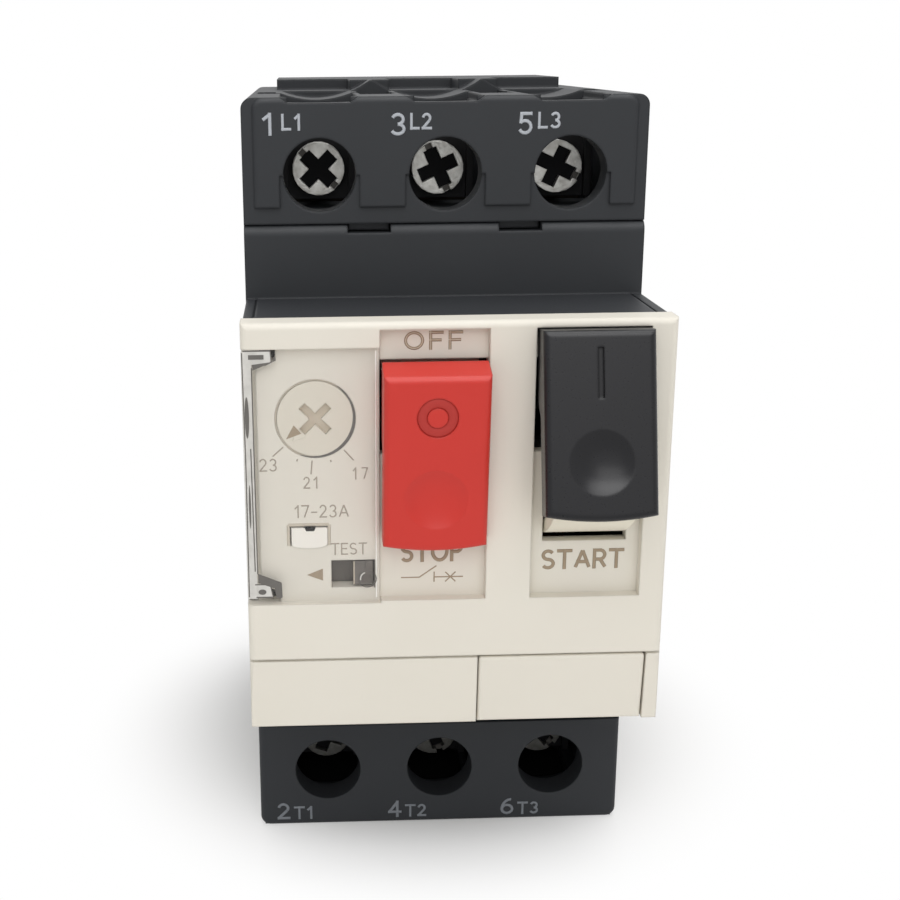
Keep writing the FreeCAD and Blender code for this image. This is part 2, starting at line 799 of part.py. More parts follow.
def setting_lever():
    y0 = y_inner + 2 * play + dial_flange_thick
    y1 = y0 + lever_thick
    x, z = lever_pivot
    cam_edge = dial_place[0] - cam_throw - cam_radius - lever_gap
    hub = stud_y(x, z, lever_hub, y0, y1 + lever_hub_over)
    pin = rod_y(x, z, lever_pin, y1, y1 + lever_pin_over + bracket_thick)
    arm = box((cam_edge - lever_arm, cam_edge), (y0, y1), (z, dial_place[1] + lever_over))
    tail = box(about(x, lever_tail), (y0, y1), (z - lever_tail_drop, z))
    return join([hub, pin, arm, tail])


def seal_tab():
    x0, x1, z0, z1 = seal_window
    back = y_inner + play
    face = y_cover + panel_depth - seal_proud
    flange = box((x0 - seal_flange, x1 + seal_flange), (back, back + seal_flange_thick),
                 (z0 - seal_flange, z1 + seal_flange))
    bump = box((x0 + play, x1 - play), (face, back + sunk), (z0 + seal_foot, z1 - play))
    middle = (x0 + x1) / 2
    wide, narrow, deep = seal_notch
    notch = [(middle - wide, z1), (middle + wide, z1),
             (middle + narrow, z1 - deep), (middle - narrow, z1 - deep)]
    return cut(join([flange, bump]), [slab_y(notch, face - past, back)])


def test_slider():
    x0, x1, z0, z1 = test_window
    back = y_inner + play
    right = x1 - test_gap
    height = (z0 + test_gap, z1 - test_gap)
    plate = box((x0 - test_plate_left, x1 + test_plate_right), (back, back + test_plate_thick),
                (z0 - test_plate_low, z1 + test_plate_high))
    knob = box((right - test_knob, right), (y_cover + panel_depth + test_gap, back + sunk), height)
    leg = box((right - test_leg, right), (back + sunk, y_cover + trip_bar_back + test_leg_reach), height)
    return join([plate, knob, leg])


# Keys

def upright(shape, x, tilt):
    # shapes are drawn with the shaft at Y = Z = 0 and the key upright, then swung to rest
    shape.rotate(Vec(0, 0, 0), Vec(1, 0, 0), -tilt)
    shape.translate(Vec(x, shaft_y, shaft_height))
    return shape


def key_cap(half, mark):
    y = -face_ahead
    low = face_bottom - past
    profile = [(y, face_top), (y, low), (y + key_wall, low), (y + key_wall, key_head_bottom - key_head_step),
               (y + key_head, key_head_bottom), (y + key_head, face_top + key_head_rise)]
    bow = (half ** 2 + key_bow ** 2) / (2 * key_bow)
    body = slab_x(profile, -half, half).common(rod_y(0, face_bottom + bow, bow, 2 * y, 0))
    body = round_edges(body, key_round, lambda c, e: c.y < y + key_round)
    ball = (dish_radius ** 2 + dish_depth ** 2) / (2 * dish_depth)
    dish = Part.makeSphere(ball, Vec(0, y + dish_depth - ball, face_top - dish_down))
    body = cut(body, [dish] + mark(y, face_top - mark_down))
    wide = half - key_gap
    head = y + key_head
    web = slab_x([(head, web_top), (head, web_bottom), (0, -web_root), (0, hub_radius - hub_trim),
                  (-hub_radius, web_top + web_rise)], -wide, wide)
    return cut(join([body, web]), [key_hub(half)])


def key_hub(half):
    wide = half - key_gap
    return slab_x(ring((0, 0), hub_radius, stud_sides), -wide, wide)


def ring_mark(y, z):
    outer = rod_y(0, z, mark_outer, y - past, y + mark_depth)
    return [outer.cut(rod_y(0, z, mark_inner, y - past, y + mark_depth))]


def bar_mark(y, z):
    return [box(about(0, bar_width / 2), (y - past, y + mark_depth), about(z, bar_length / 2))]


def key_carrier(half, window):
    back = -face_ahead + key_wall
    inner = skirt_radius - skirt_thick
    start = math.asin(-(face_bottom + skirt_start) / skirt_radius)
    end = math.radians(skirt_end)
    middle = (start + end) / 2

    def arc_point(radius, angle):
        return (-radius * math.cos(angle), -radius * math.sin(angle))
    order = [(skirt_radius, a) for a in (start, middle, end)] + [(inner, a) for a in (end, middle, start)]
    corners = [Vec(-window, *arc_point(radius, angle)) for radius, angle in order]
    edges = [Part.Arc(corners[0], corners[1], corners[2]).toShape(),
             Part.LineSegment(corners[2], corners[3]).toShape(),
             Part.Arc(corners[3], corners[4], corners[5]).toShape(),
             Part.LineSegment(corners[5], corners[0]).toShape()]
    skirt = Part.Face(Part.Wire(edges)).extrude(Vec(2 * window, 0, 0))
    mid_radius = skirt_radius - skirt_thick / 2
    lip, waist, foot = [arc_point(mid_radius, angle) for angle in (start, middle, end)]
    rib = [(back, rib_inner), (back, lip[1]), lip, waist, foot, (0, -hub_radius / 2)]
    pieces = [key_hub(half), skirt]
    for x in (-window + rib_thick, window - 2 * rib_thick):
        pieces.append(slab_x(rib, x, x + rib_thick))
    arm_z = (-arm_reach - arm_tail, -hub_radius + sunk)
    pieces.append(box(about(0, arm_width / 2), (-arm_half, arm_half), arm_z))
    return cut(join(pieces), [rod_x(0, 0, shaft_radius + fit_gap, -half - past, half + past),
                              box((-half, half), (-2 * face_ahead, back), (2 * face_bottom, face_top))])


def key_pair(name, well, tilt, mark):
    half = (well[1] - well[0]) / 2 - key_gap
    window = (well[1] - well[0]) / 2 - window_inset - key_gap
    x = sum(well) / 2
    cap = key_cap(half, mark)
    carrier = cut(key_carrier(half, window), [cap])
    return {name: upright(cap, x, tilt), name + "_carrier": upright(carrier, x, tilt)}


def key_shaft():
    left = stop_well[0] - key_gap - play - lug_thick
    return rod_x(shaft_y, shaft_height, shaft_radius, left, nose_half - shaft_seat)


def changeover_beam():
    z = about(shaft_height - arm_reach, beam_height / 2)
    pieces = [box(about(beam_x, beam_reach), about(beam_y, beam_half), z),
              stud_z(beam_x, beam_y, 2 * beam_half, z[0], z[1])]
    for x in (beam_x - beam_reach, beam_x + beam_reach):
        pieces.append(stud_z(x, beam_y, beam_tip, z[0], z[1]))
    body = cut(join(pieces), [rod_z(beam_x, beam_y, pin_radius + fit_gap, z[0] - past, z[1] + past)])
    return body.rotate(Vec(beam_x, beam_y, 0), Vec(0, 0, 1), -math.degrees(beam_turn))


def beam_pivot():
    z = shaft_height - arm_reach
    low = z - beam_height / 2 - play
    high = z + beam_height / 2 + play + pin_seat - end_room
    head = stud_z(beam_x, beam_y, pin_head, low - pin_head_thick, low)
    return join([rod_z(beam_x, beam_y, pin_radius, low, high), head])


# Contacts and trips

def contact_carrier():
    side = half_width - wall - carrier_side
    bar = box((-side, side), (y_carrier - carrier_depth, y_carrier), about(0, carrier_half_height))
    pieces = [bar]
    prong_y = (y_carrier - sunk, y_bridge - bridge_room)
    for x in poles:
        for s in (1, -1):
            middle = x + s * (bridge_half + bridge_room + prong / 2)
            pieces.append(box(about(middle, prong / 2), prong_y, about(0, carrier_half_height - prong_inset)))
    # the post meets the beam where the beam's stroke equals the contact's
    front = beam_y - (post_x - beam_x) * math.tan(beam_turn) + beam_half / math.cos(beam_turn) + post_gap
    pieces.append(box(about(post_x, post_half), (front, y_carrier - past), (post_low, post_top)))
    return join(pieces)


def contact_bridge(x):
    bar = box(about(x, bridge_half), (y_leaf, y_bridge), about(0, contact_place + bridge_over))
    pads = [stud_y(x, z, contact_radius, y_bridge, y_bridge + contact_thick)
            for z in (contact_place, -contact_place)]
    return join([bar] + pads)


def contact_spring(x):
    flat = leaf_half / 3
    points = [(y_leaf - leaf_thick, leaf_half), (y_carrier, flat), (y_carrier, -flat),
              (y_leaf - leaf_thick, -leaf_half), (y_leaf, -leaf_half), (y_carrier + leaf_thick, -flat),
              (y_carrier + leaf_thick, flat), (y_leaf, leaf_half)]
    return slab_x(points, x - bridge_half + leaf_inset, x + bridge_half - leaf_inset)


def terminal_plate(side, x):
    top = z_end - plate_end
    y = (y_plate, y_plate_back)
    plate = box(about(x, plate_half), y, up(side, seam_height - sunk, top))
    ears = box((x - plate_half - ear_short, x + plate_half + ear_long), y, up(side, top - ear_height, top))
    z = side * screw_places[side]
    hole = stud_y(x, z, shank_radius + fit_gap, y_plate - past, y_plate_back + past)
    return cut(join([plate, ears]), [hole])


def line_conductor(x):
    front = y_plate + plate_thick / 2
    rear = -rear_wall - strip_thick / 2
    path = [(front, seam_height), (front, line_run), (rear, line_run), (rear, contact_place - strip_past)]
    pad = stud_y(x, contact_place, contact_radius, y_fixed, y_strip)
    return join([terminal_plate(1, x), bent_strip(path, strip_half, x, strip_thick), pad])


def load_contact(x):
    rear = -rear_wall - strip_thick / 2
    run = -load_run
    front = -coil_rear + strip_thick / 2
    path = [(rear, -contact_place + strip_past), (rear, run), (front, run), (front, -coil_drop - past)]
    pad = stud_y(x, -contact_place, contact_radius, y_fixed, y_strip)
    return join([bent_strip(path, strip_half, x, strip_thick), pad])


def load_conductor(x):
    run = -chamber_half + load_out
    rear = y_plate + plate_thick / 2
    foot = -nose_inner_high + lead_thick - strip_thick / 2
    path = [(rear, -seam_height), (rear, run), (load_lead, run), (load_lead, foot)]
    return join([terminal_plate(-1, x), bent_strip(path, strip_half, x, strip_thick)])


def arc_chutes():
    y = (-chute_front, -chute_back)
    last = chute_start + (chute_count - 1) * chute_pitch + chute_plate
    stacks = []
    for x in poles:
        mouth = [(x - chute_mouth, y[1] + past), (x + chute_mouth, y[1] + past),
                 (x, y[1] - chute_mouth_depth)]
        for side in (1, -1):
            pieces = []
            for s in (1, -1):
                middle = x + s * (chute_half + chute_cheek / 2)
                cheek_z = up(side, chute_start - chute_lip, last + chute_lip)
                pieces.append(box(about(middle, chute_cheek / 2), y, cheek_z))
            for i in range(chute_count):
                z = up(side, chute_start + i * chute_pitch, chute_start + i * chute_pitch + chute_plate)
                plate = box(about(x, chute_half), y, z)
                pieces.append(plate.cut(slab_z(mouth, z[0] - past, z[1] + past)))
            stacks.append(join(pieces))
    return Part.makeCompound(stacks)


def trip_coil(x):
    centre = (x, -coil_drop)
    link_x = x + (coil_inner + coil_outer) / 2
    pieces = []
    for i in range(coil_turns):
        y = -coil_rear - coil_turn - i * coil_pitch
        turn = slab_y(ring(centre, coil_outer, coil_sides), y, y + coil_turn)
        bore = slab_y(ring(centre, coil_inner, coil_sides), y - past, y + coil_turn + past)
        pieces.append(turn.cut(bore))
        if i:
            pieces.append(box(about(link_x, coil_link / 2), (y + coil_turn, y + coil_pitch),
                              about(-coil_drop, coil_link / 2)))
    heater_back = y_cover + bimetal_back + bimetal_width + heater_wrap
    low = -coil_drop - coil_outer + coil_lead_up
    pieces.append(box(about(x + bimetal_thick / 2, coil_lead / 2), (heater_back, coil_front + coil_turn),
                      (low, low + coil_lead)))
    return join(pieces)


def striker(x):
    return stud_y(x, -coil_drop, striker_radius, coil_front - striker_over, -coil_rear - striker_back)


def bimetal(x):
    y = (y_cover + bimetal_back, y_cover + bimetal_back + bimetal_width)
    floor = -nose_inner_high
    foot_x = (x - bimetal_foot, x + bimetal_thick + bimetal_foot)
    lead_end = load_lead - strip_thick / 2
    pieces = [box((x, x + bimetal_thick), y, (floor, bimetal_top)),
              box(foot_x, y, (floor, floor + bimetal_foot_thick)),
              box(about(x, lead_half), (y[1] - sunk, lead_end), (floor, floor + lead_thick))]
    wrap_x = (x - heater_wrap, x + bimetal_thick + heater_wrap)
    wrap_y = (y[0] - heater_wrap, y[1] + heater_wrap)
    for i in range(heater_turns):
        z = floor + heater_up + i * heater_pitch
        pieces.append(box(wrap_x, wrap_y, (z, z + heater_turn)))
    return join(pieces)


def trip_bar():
    y = (y_cover + trip_bar_back, y_cover + trip_bar_back + trip_bar_thick)
    z = (trip_bar_low, trip_bar_low + trip_bar_height)
    pieces = [box((trip_bar_left, trip_bar_right), y, z)]
    for x in poles:
        edge = x - finger_gap
        pieces.append(box((edge - finger_width, edge), (y[1] - finger_root, y[1] + finger_reach),
                          (bimetal_top - finger_drop, z[1])))
    push = test_window[1] - test_gap - test_leg - push_gap
    pieces.append(box((push - push_thick, push), (y[0] - past, y[1]), (z[0], test_window[2] + push_rise)))
    stop = latch_pivot[0] + latch_tail + latch_gap
    back = -mech_plate_ahead - mech_plate_thick - latch_stop_back
    pieces.append(box((stop, trip_bar_right), (y[1] - sunk, back), (z[0], latch_pivot[1] - latch_stop_drop)))
    return join(pieces)


def mechanism_plate():
    side = half_width - wall - seat_gap
    y = (-mech_plate_ahead - mech_plate_thick, -mech_plate_ahead)
    plate = box((-side, side), y, (mech_plate_low, mech_plate_high))
    room = box(about(post_x, post_half + post_room), (y[0] - past, y[1] + past),
               (post_low - post_room, post_top + post_room))
    x, z = latch_pivot
    boss = rod_y(x, z, latch_pivot_radius, y[0] - latch_lever_thick - latch_boss_over, y[0] + sunk)
    return join([cut(plate, [room]), boss])


def trip_latch():
    x, z = latch_pivot
    back = -mech_plate_ahead - mech_plate_thick - play
    y = (back - latch_lever_thick, back)
    flank = post_x + post_half + latch_gap
    high = z + latch_hook_rise
    hub = stud_y(x, z, latch_hub, y[0], y[1])
    tail = box(about(x, latch_tail), y, (z - latch_tail_drop, z))
    hook = slab_y([(x - latch_hook_root, z), (x + latch_hook_root, z), (flank + latch_hook_thick, high),
                   (flank, high), (flank, z + latch_hook_low)], y[0], y[1])
    hole = rod_y(x, z, latch_pivot_radius + fit_gap, y[0] - past, y[1] + past)
    return cut(join([hub, tail, hook]), [hole])


# Terminal screws, rail latch

def terminal_screw(side, x, turn):
    z = side * screw_places[side]
    front = y_head_back - head_thick
    head = stud_y(x, z, head_radius, front, y_head_back, head_sides)
    shank = stud_y(x, z, shank_radius, y_head_back - sunk, y_head_back + shank_length)
    recess = (front - past, front + cross_arm_depth)
    tools = [box(about(x, cross_arm), recess, about(z, cross_arm_width / 2)),
             box(about(x, cross_arm_width / 2), recess, about(z, cross_arm)),
             box(about(x, head_radius + past), (front - past, front + head_slot_depth),
                 about(z, head_slot / 2))]
    tools = [tool.rotate(Vec(x, 0, z), Vec(0, 1, 0), turn) for tool in tools]
    return cut(join([head, shank]), tools)


def terminal_clamp(side, x):
    z = side * screw_places[side]
    height = about(z, clamp_half)
    pieces = [box(about(x, plate_half), (y_head_back, y_clamp_back), height)]
    for s in (1, -1):
        lip = about(x + s * (plate_half - clamp_lip / 2), clamp_lip / 2)
        pieces.append(box(lip, (y_head_back - head_lip, y_head_back), height))
    hole = stud_y(x, z, shank_radius + fit_gap, y_head_back - past, y_clamp_back + past)
    return cut(join(pieces), [hole])


def din_latch():
    y0 = latch_floor + latch_clear
    y1 = y0 + latch_thick
    rear = rear_depth + past
    foot = -z_end + latch_foot
    tongue = latch_half - latch_ledge - latch_clear
    plate = box((-latch_half, latch_half), (y0, y1), (foot, -rail_half))
    rise = box((-tongue, tongue), (y1 - sunk, rear_depth), (foot, -rail_half))
    root = -rail_half - latch_root
    hook = [(rail_lip, root), (rail_lip, -latch_top), (y1, -latch_top - hook_slope), (rear_depth, root)]
    low = -latch_window_top - latch_window_height - latch_travel + 2 * play
    slot = -z_end + pull_slot_up
    tools = [box((-latch_window_half, latch_window_half), (y0 - past, rear), (low, -latch_window_top)),
             box(about(0, pull_slot / 2), (y0 - past, rear), (slot, slot + pull_slot_height))]
    return cut(join([plate, rise, slab_x(hook, -tongue, tongue)]), tools)


def din_latch_spring():
    low = -latch_window_top - latch_window_height + peg_height
    high = -latch_window_top
    y = about(latch_floor + latch_thick / 2, spring_wave)
    step = (high - low - spring_thick) / spring_folds
    leaves = []
    for i in range(spring_folds):
        reach = spring_half if i % 2 else -spring_half
        z0 = low + i * step
        z1 = z0 + step
        leaf = [(-reach, z0), (reach, z1), (reach, z1 + spring_thick), (-reach, z0 + spring_thick)]
        leaves.append(slab_y(leaf, y[0], y[1]))
    return join(leaves)


nodes = {
    "rear_base": rear_base(),
    "front_housing": front_housing(),
    "line_terminal_cover": terminal_cover(1),
    "load_terminal_cover": terminal_cover(-1),
    "front_cover": front_cover(),
    "blanking_plate": blanking_plate(),
    "clear_cover": clear_cover(),
    "setting_dial": setting_dial(),
    "setting_lever": setting_lever(),
    "seal_tab": seal_tab(),
    "test_slider": test_slider(),
    "key_shaft": key_shaft(),
    "changeover_beam": changeover_beam(),
    "beam_pivot": beam_pivot(),
    "contact_carrier": contact_carrier(),
    "contact_springs": Part.makeCompound([contact_spring(x) for x in poles]),
    "arc_chutes": arc_chutes(),
    "trip_bar": trip_bar(),
    "trip_latch": trip_latch(),
    "mechanism_plate": mechanism_plate(),
    "din_latch": din_latch(),
    "din_latch_spring": din_latch_spring(),
}
nodes.update(key_pair("stop_key", stop_well, stop_rest, ring_mark))
nodes.update(key_pair("start_key", start_well, start_rest, bar_mark))
for i, x in enumerate(poles):
    number = i + 1
    nodes[f"contact_bridge_{number}"] = contact_bridge(x)
    nodes[f"line_conductor_{number}"] = line_conductor(x)
    nodes[f"load_contact_{number}"] = load_contact(x)
    nodes[f"load_conductor_{number}"] = load_conductor(x)
    nodes[f"trip_coil_{number}"] = trip_coil(x)
    nodes[f"striker_{number}"] = striker(x)
    nodes[f"bimetal_{number}"] = bimetal(x)
    for end, side in (("line", 1), ("load", -1)):
        nodes[f"{end}_screw_{number}"] = terminal_screw(side, x, head_turns[side][i])
        nodes[f"{end}_clamp_{number}"] = terminal_clamp(side, x)

for name, shape in nodes.items():
    shape.exportStep(f"parts/{name}.step")
    print(f"{name}: {len(shape.Solids)} solids, {shape.Volume:.1f} mm3, valid {shape.isValid()}")
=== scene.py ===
import json
import math
import bmesh
import bpy
from mathutils import Matrix, Vector


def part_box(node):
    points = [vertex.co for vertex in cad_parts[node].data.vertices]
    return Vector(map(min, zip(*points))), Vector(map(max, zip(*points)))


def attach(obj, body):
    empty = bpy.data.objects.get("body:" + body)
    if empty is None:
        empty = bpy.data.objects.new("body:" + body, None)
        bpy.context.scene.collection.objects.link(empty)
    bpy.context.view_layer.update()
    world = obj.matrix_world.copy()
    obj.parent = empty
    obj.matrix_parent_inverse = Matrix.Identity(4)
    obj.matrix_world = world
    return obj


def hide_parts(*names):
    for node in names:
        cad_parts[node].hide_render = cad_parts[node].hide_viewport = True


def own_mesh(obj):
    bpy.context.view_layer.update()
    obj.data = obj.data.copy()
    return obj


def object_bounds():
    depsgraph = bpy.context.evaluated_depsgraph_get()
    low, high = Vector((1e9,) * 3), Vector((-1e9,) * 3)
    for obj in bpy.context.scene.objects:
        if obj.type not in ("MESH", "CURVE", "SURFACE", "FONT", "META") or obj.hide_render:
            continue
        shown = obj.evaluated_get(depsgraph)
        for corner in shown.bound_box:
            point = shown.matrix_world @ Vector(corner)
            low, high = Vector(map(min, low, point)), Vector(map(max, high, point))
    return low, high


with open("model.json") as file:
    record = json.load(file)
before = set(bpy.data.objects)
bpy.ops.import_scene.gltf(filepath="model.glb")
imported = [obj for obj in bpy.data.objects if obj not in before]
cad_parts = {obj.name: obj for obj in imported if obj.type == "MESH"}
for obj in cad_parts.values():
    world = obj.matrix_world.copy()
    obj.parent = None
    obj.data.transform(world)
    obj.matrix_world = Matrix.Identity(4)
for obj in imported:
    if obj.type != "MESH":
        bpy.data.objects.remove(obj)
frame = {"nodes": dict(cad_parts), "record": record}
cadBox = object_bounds()
nodes = frame["nodes"]
mm = 0.001
print("frame loaded")


# Materials

surface = dict(grainDetail=3.0, cloudDetail=2.0, edgeSamples=4, bumpDepth=0.05, sharpAngle=32)  # mm, degrees
# edge, grain and cloud are in mm, and the grain is coarser than a real mould's, so that it shows
plainLook = dict(edge=0.2, grain=0.25, cloud=9.0, relief=0.12, spread=0.05, gloss=0.3, metal=0.0)


def linear(hexColour):  # sRGB hex to linear red, green, blue, alpha
    parts = [int(hexColour[i:i + 2], 16) / 255 for i in (1, 3, 5)]
    return [c / 12.92 if c <= 0.04045 else ((c + 0.055) / 1.055) ** 2.4 for c in parts] + [1.0]


def addNode(tree, kind, values=None, links=None, **settings):
    node = tree.nodes.new(kind)
    for key, value in settings.items():
        setattr(node, key, value)
    for key, value in (values or {}).items():
        node.inputs[key].default_value = value
    for key, socket in (links or {}).items():
        tree.links.new(socket, node.inputs[key])
    return node


def newMaterial(name):
    material = bpy.data.materials.new(name)
    material.use_nodes = True
    material.node_tree.nodes.clear()
    return material, material.node_tree


def solidMaterial(name, colour, second, rough, **changes):
    # a fine grain, slow changes between two tones, and edges that the shading rounds
    finish = dict(plainLook, **changes)
    material, tree = newMaterial(name)
    coords = addNode(tree, "ShaderNodeTexCoord").outputs["Object"]
    grain, cloud = [addNode(tree, "ShaderNodeTexNoise",
                            {"Scale": 1 / (finish[size] * mm), "Detail": surface[size + "Detail"]},
                            {"Vector": coords}).outputs["Fac"] for size in ("grain", "cloud")]
    tone = addNode(tree, "ShaderNodeMix", {"A": linear(colour), "B": linear(second)}, {"Factor": cloud},
                   data_type="RGBA")
    dullness = addNode(tree, "ShaderNodeMapRange",
                       {"To Min": rough - finish["spread"], "To Max": rough + finish["spread"]},
                       {"Value": grain})
    edge = addNode(tree, "ShaderNodeBevel", {"Radius": finish["edge"] * mm}, samples=surface["edgeSamples"])
    bump = addNode(tree, "ShaderNodeBump",
                   {"Strength": finish["relief"], "Distance": surface["bumpDepth"] * mm},
                   {"Height": grain, "Normal": edge.outputs["Normal"]})
    shader = addNode(tree, "ShaderNodeBsdfPrincipled",
                     {"Metallic": finish["metal"], "Specular IOR Level": finish["gloss"]},
                     {"Base Color": tone.outputs["Result"], "Roughness": dullness.outputs["Result"],
                      "Normal": bump.outputs["Normal"]})
    addNode(tree, "ShaderNodeOutputMaterial", links={"Surface": shader.outputs["BSDF"]})
    return material


def clearMaterial(name, tint, colour, rough, cover):  # cover is the share that doesn't go through
    material, tree = newMaterial(name)
    through = addNode(tree, "ShaderNodeBsdfTransparent", {"Color": linear(tint)})
    shine = addNode(tree, "ShaderNodeBsdfPrincipled", {"Base Color": linear(colour), "Roughness": rough})
    both = addNode(tree, "ShaderNodeMixShader", {"Fac": cover})
    tree.links.new(through.outputs["BSDF"], both.inputs[1])
    tree.links.new(shine.outputs["BSDF"], both.inputs[2])
    addNode(tree, "ShaderNodeOutputMaterial", links={"Surface": both.outputs["Shader"]})
    return material


plating = dict(edge=0.15, grain=0.22, cloud=0.8, relief=0.9, metal=0.7, gloss=0.5)  # coarse and mottled
rolled = dict(edge=0.1, metal=1.0, gloss=0.5)  # smooth metal strip
materials = {
    # glass-filled nylon from a spark-eroded mould: charcoal, even and dull, with a fine grain
    "dark_moulding": solidMaterial("charcoalNylon", "#292b2e", "#2d2f32", 0.52, edge=0.35, gloss=0.25),
    # ABS from a finely eroded mould: warm ivory, nearly smooth, with edges that catch the light
    "ivory_moulding": solidMaterial("ivoryAbs", "#dfdacf", "#dcd7cb", 0.5, edge=0.25, relief=0.05),
    # the cover's ABS painted a shade deeper on the dial: painted shade of its recess
    "dial_moulding": solidMaterial("shadedDialAbs", "#dad4c6", "#d7d1c3", 0.48, relief=0.05),
    # ABS from a smooth mould: the whitest piece of the front
    "white_tab": solidMaterial("whiteAbs", "#efebe3", "#ece8df", 0.45, relief=0.04),
    # filled nylon: a mid grey that is dull all over
    "grey_slider": solidMaterial("greyNylon", "#726d68", "#6d6863", 0.5),
    # ABS from a smooth mould: strong red with a soft sheen along its edges
    "red_key": solidMaterial("redAbs", "#c8352c", "#c3322a", 0.38, edge=0.3, relief=0.05, gloss=0.28),
    # the same in black: its sheen shows most in the finger dish
    "black_key": solidMaterial("blackAbs", "#141417", "#18181b", 0.29, edge=0.35, relief=0.08, gloss=0.28),
    # natural nylon: creamy, and yellower than the cover
    "cream_carrier": solidMaterial("creamNylon", "#e8e3d4", "#e2dccb", 0.5, relief=0.05),
    # filled nylon inside the housing: a plain dark grey
    "inner_moulding": solidMaterial("innerNylon", "#3c3d40", "#37383b", 0.55),
    # zinc plating under a passive layer: pale, mottled, less than a full mirror of what is around it
    "plated_steel": solidMaterial("zincPlatedSteel", "#f0f0ec", "#a5a29a", 0.42, **plating),
    # rolled strip: an even grey metal
    "steel": solidMaterial("springSteel", "#9b9b9d", "#8d8d90", 0.38, **rolled),
    # bare rolled strip: a warm metal
    "copper": solidMaterial("rolledCopper", "#c98a63", "#bd7f59", 0.36, **rolled),
    # thin polished sheet: what is under it shows, and a little shine lies over it
    "clear_flap": clearMaterial("clearPolycarbonate", "#fdfdfd", "#eceae6", rough=0.08, cover=0.03),
}
# painted shade: nodes deep in the terminals get darker tones than their metal has, for the dark of the holes
hidden = {  # by a word in the node's name, for nodes deep in the terminals
    # zinc plating painted a dim grey: painted shade deep in the load terminals
    "load_screw_": solidMaterial("deepShadedZincPlatedSteel", "#8d8d8a", "#615f59", 0.45, **plating),
    # clamp steel painted nearly black: painted shade, nearly lost in the dark of the hole
    "_clamp_": solidMaterial("shadedClampSteel", "#242426", "#1d1d1f", 0.5, edge=0.1, gloss=0.2),
    # brass painted a dark brown with little shine: painted shade inside the terminals
    "_conductor_": solidMaterial("shadedConductorBrass", "#3a342b", "#302a22", 0.6, edge=0.1, gloss=0.2),
}
flat = dict(edge=0.02, relief=0.0)  # marks have no grain of their own
dim = ("#6f6c68", "#5c5955", 0.5)  # tones and roughness where little light comes back
inks = {
    # ABS that a laser has marked: flat brown grey, greyer in fine lines, and paler where it is half burnt
    "brown": solidMaterial("laserMarkedAbs", "#9c8c76", "#a08f79", 0.6, **flat),
    "thin": solidMaterial("fineLaserMarkedAbs", "#a39a8c", "#a79e90", 0.6, **flat),
    "pale": solidMaterial("paleLaserMarkedAbs", "#c6baa8", "#cabfae", 0.6, **flat),
    # pad printing on nylon: grey, a little uneven, and fainter at the load end
    "line": solidMaterial("palePadInk", "#b0b4ba", "#a5a9b0", 0.6, cloud=0.8, **flat),
    "load": solidMaterial("dullPadInk", "#7c8085", "#70747a", 0.6, cloud=0.8, **flat),
    # cut edges of the clear sheet: dark, bright or half clear, by the way they bend the light
    "shade": solidMaterial("darkPolycarbonateEdge", *dim, cloud=2.0, **flat),
    "bright": solidMaterial("brightPolycarbonateEdge", "#f2f0eb", "#e6e3dd", 0.3, cloud=2.0, **flat),
    "glass": solidMaterial("clearPolycarbonateEdge", "#dcdad5", "#b4b2ad", 0.25, cloud=1.2, **flat),
    # ABS in the gap beside the dial: a dim grey
    "gap": solidMaterial("shadowedAbs", *dim, cloud=2.0, **flat),
    # plating on the floor of a screw's slot: the same dim grey
    "slot": solidMaterial("shadowedZincPlatedSteel", *dim, cloud=2.0, **flat),
    # the dial's ABS in the patch that closes its groove: the same tone as the dial, with the same painted
    # shade
    "dial": solidMaterial("dialPatchAbs", "#dad4c6", "#d7d1c3", 0.48, edge=0.02, relief=0.05),
    # ivory ABS along a cut: a thin line, darker than the face
    "rim": solidMaterial("shadedIvoryAbs", "#c4bbab", "#c9c0b0", 0.55, **flat),
    # the tab's ABS where it bulges out of its window: white and smooth
    "white": solidMaterial("whiteTabAbs", "#efebe3", "#ece8df", 0.45, edge=0.1, relief=0.0),
    # red ABS in the ring groove: darker than the key, with no sheen
    "redShade": solidMaterial("dullRedAbs", "#ab302a", "#af322b", 0.55, **flat),
    # painted shade in a recess: a black that hides how deep it is
    "black": solidMaterial("paintedShadeBlack", "#131315", "#18181a", 0.6, gloss=0.1, **flat),
}

for part in frame["record"]["subparts"]:
    mesh = nodes[part["node"]].data
    deep = [material for word, material in hidden.items() if word in part["node"]]
    mesh.materials.clear()
    mesh.materials.append(deep[0] if deep else materials[part["material_slot"]])
    mesh.shade_smooth()
    mesh.set_sharp_from_angle(angle=math.radians(surface["sharpAngle"]))
print("materials set")


# Tools for words and signs, drawn in mm across X and up Z on a face at a depth Y

inkRise = 0.02
faces = dict(shoulder=-50.0, well=-64.7, panel=-65.0, tab=-65.1, flap=-66.0, eye=-66.5, dialCross=-64.5,
             dialRim=-64.9)
rides = dict(  # the body that carries a piece, and the slot listed with it
    shoulder=("housing", "dark_moulding"), cover=("housing", "ivory_moulding"), tab=("housing", "white_tab"),
    dial=("setting_dial", "dial_moulding"), slider=("test_slider", "grey_slider"),
    stopKey=("stop_key", "red_key"), flap=("clear_cover", "clear_flap"), spring=("housing", "steel"))
strokeForm = dict(roundness=1, lift=0.06, lifts=4, closeWithin=1e-6)  # lift is a share of the width


def addPiece(name, mesh, material, ride):
    body, slot = ride
    piece = bpy.data.objects.new(name, mesh)
    bpy.context.scene.collection.objects.link(piece)
    mesh.materials.clear()
    mesh.materials.append(material)
    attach(piece, body)
    return piece


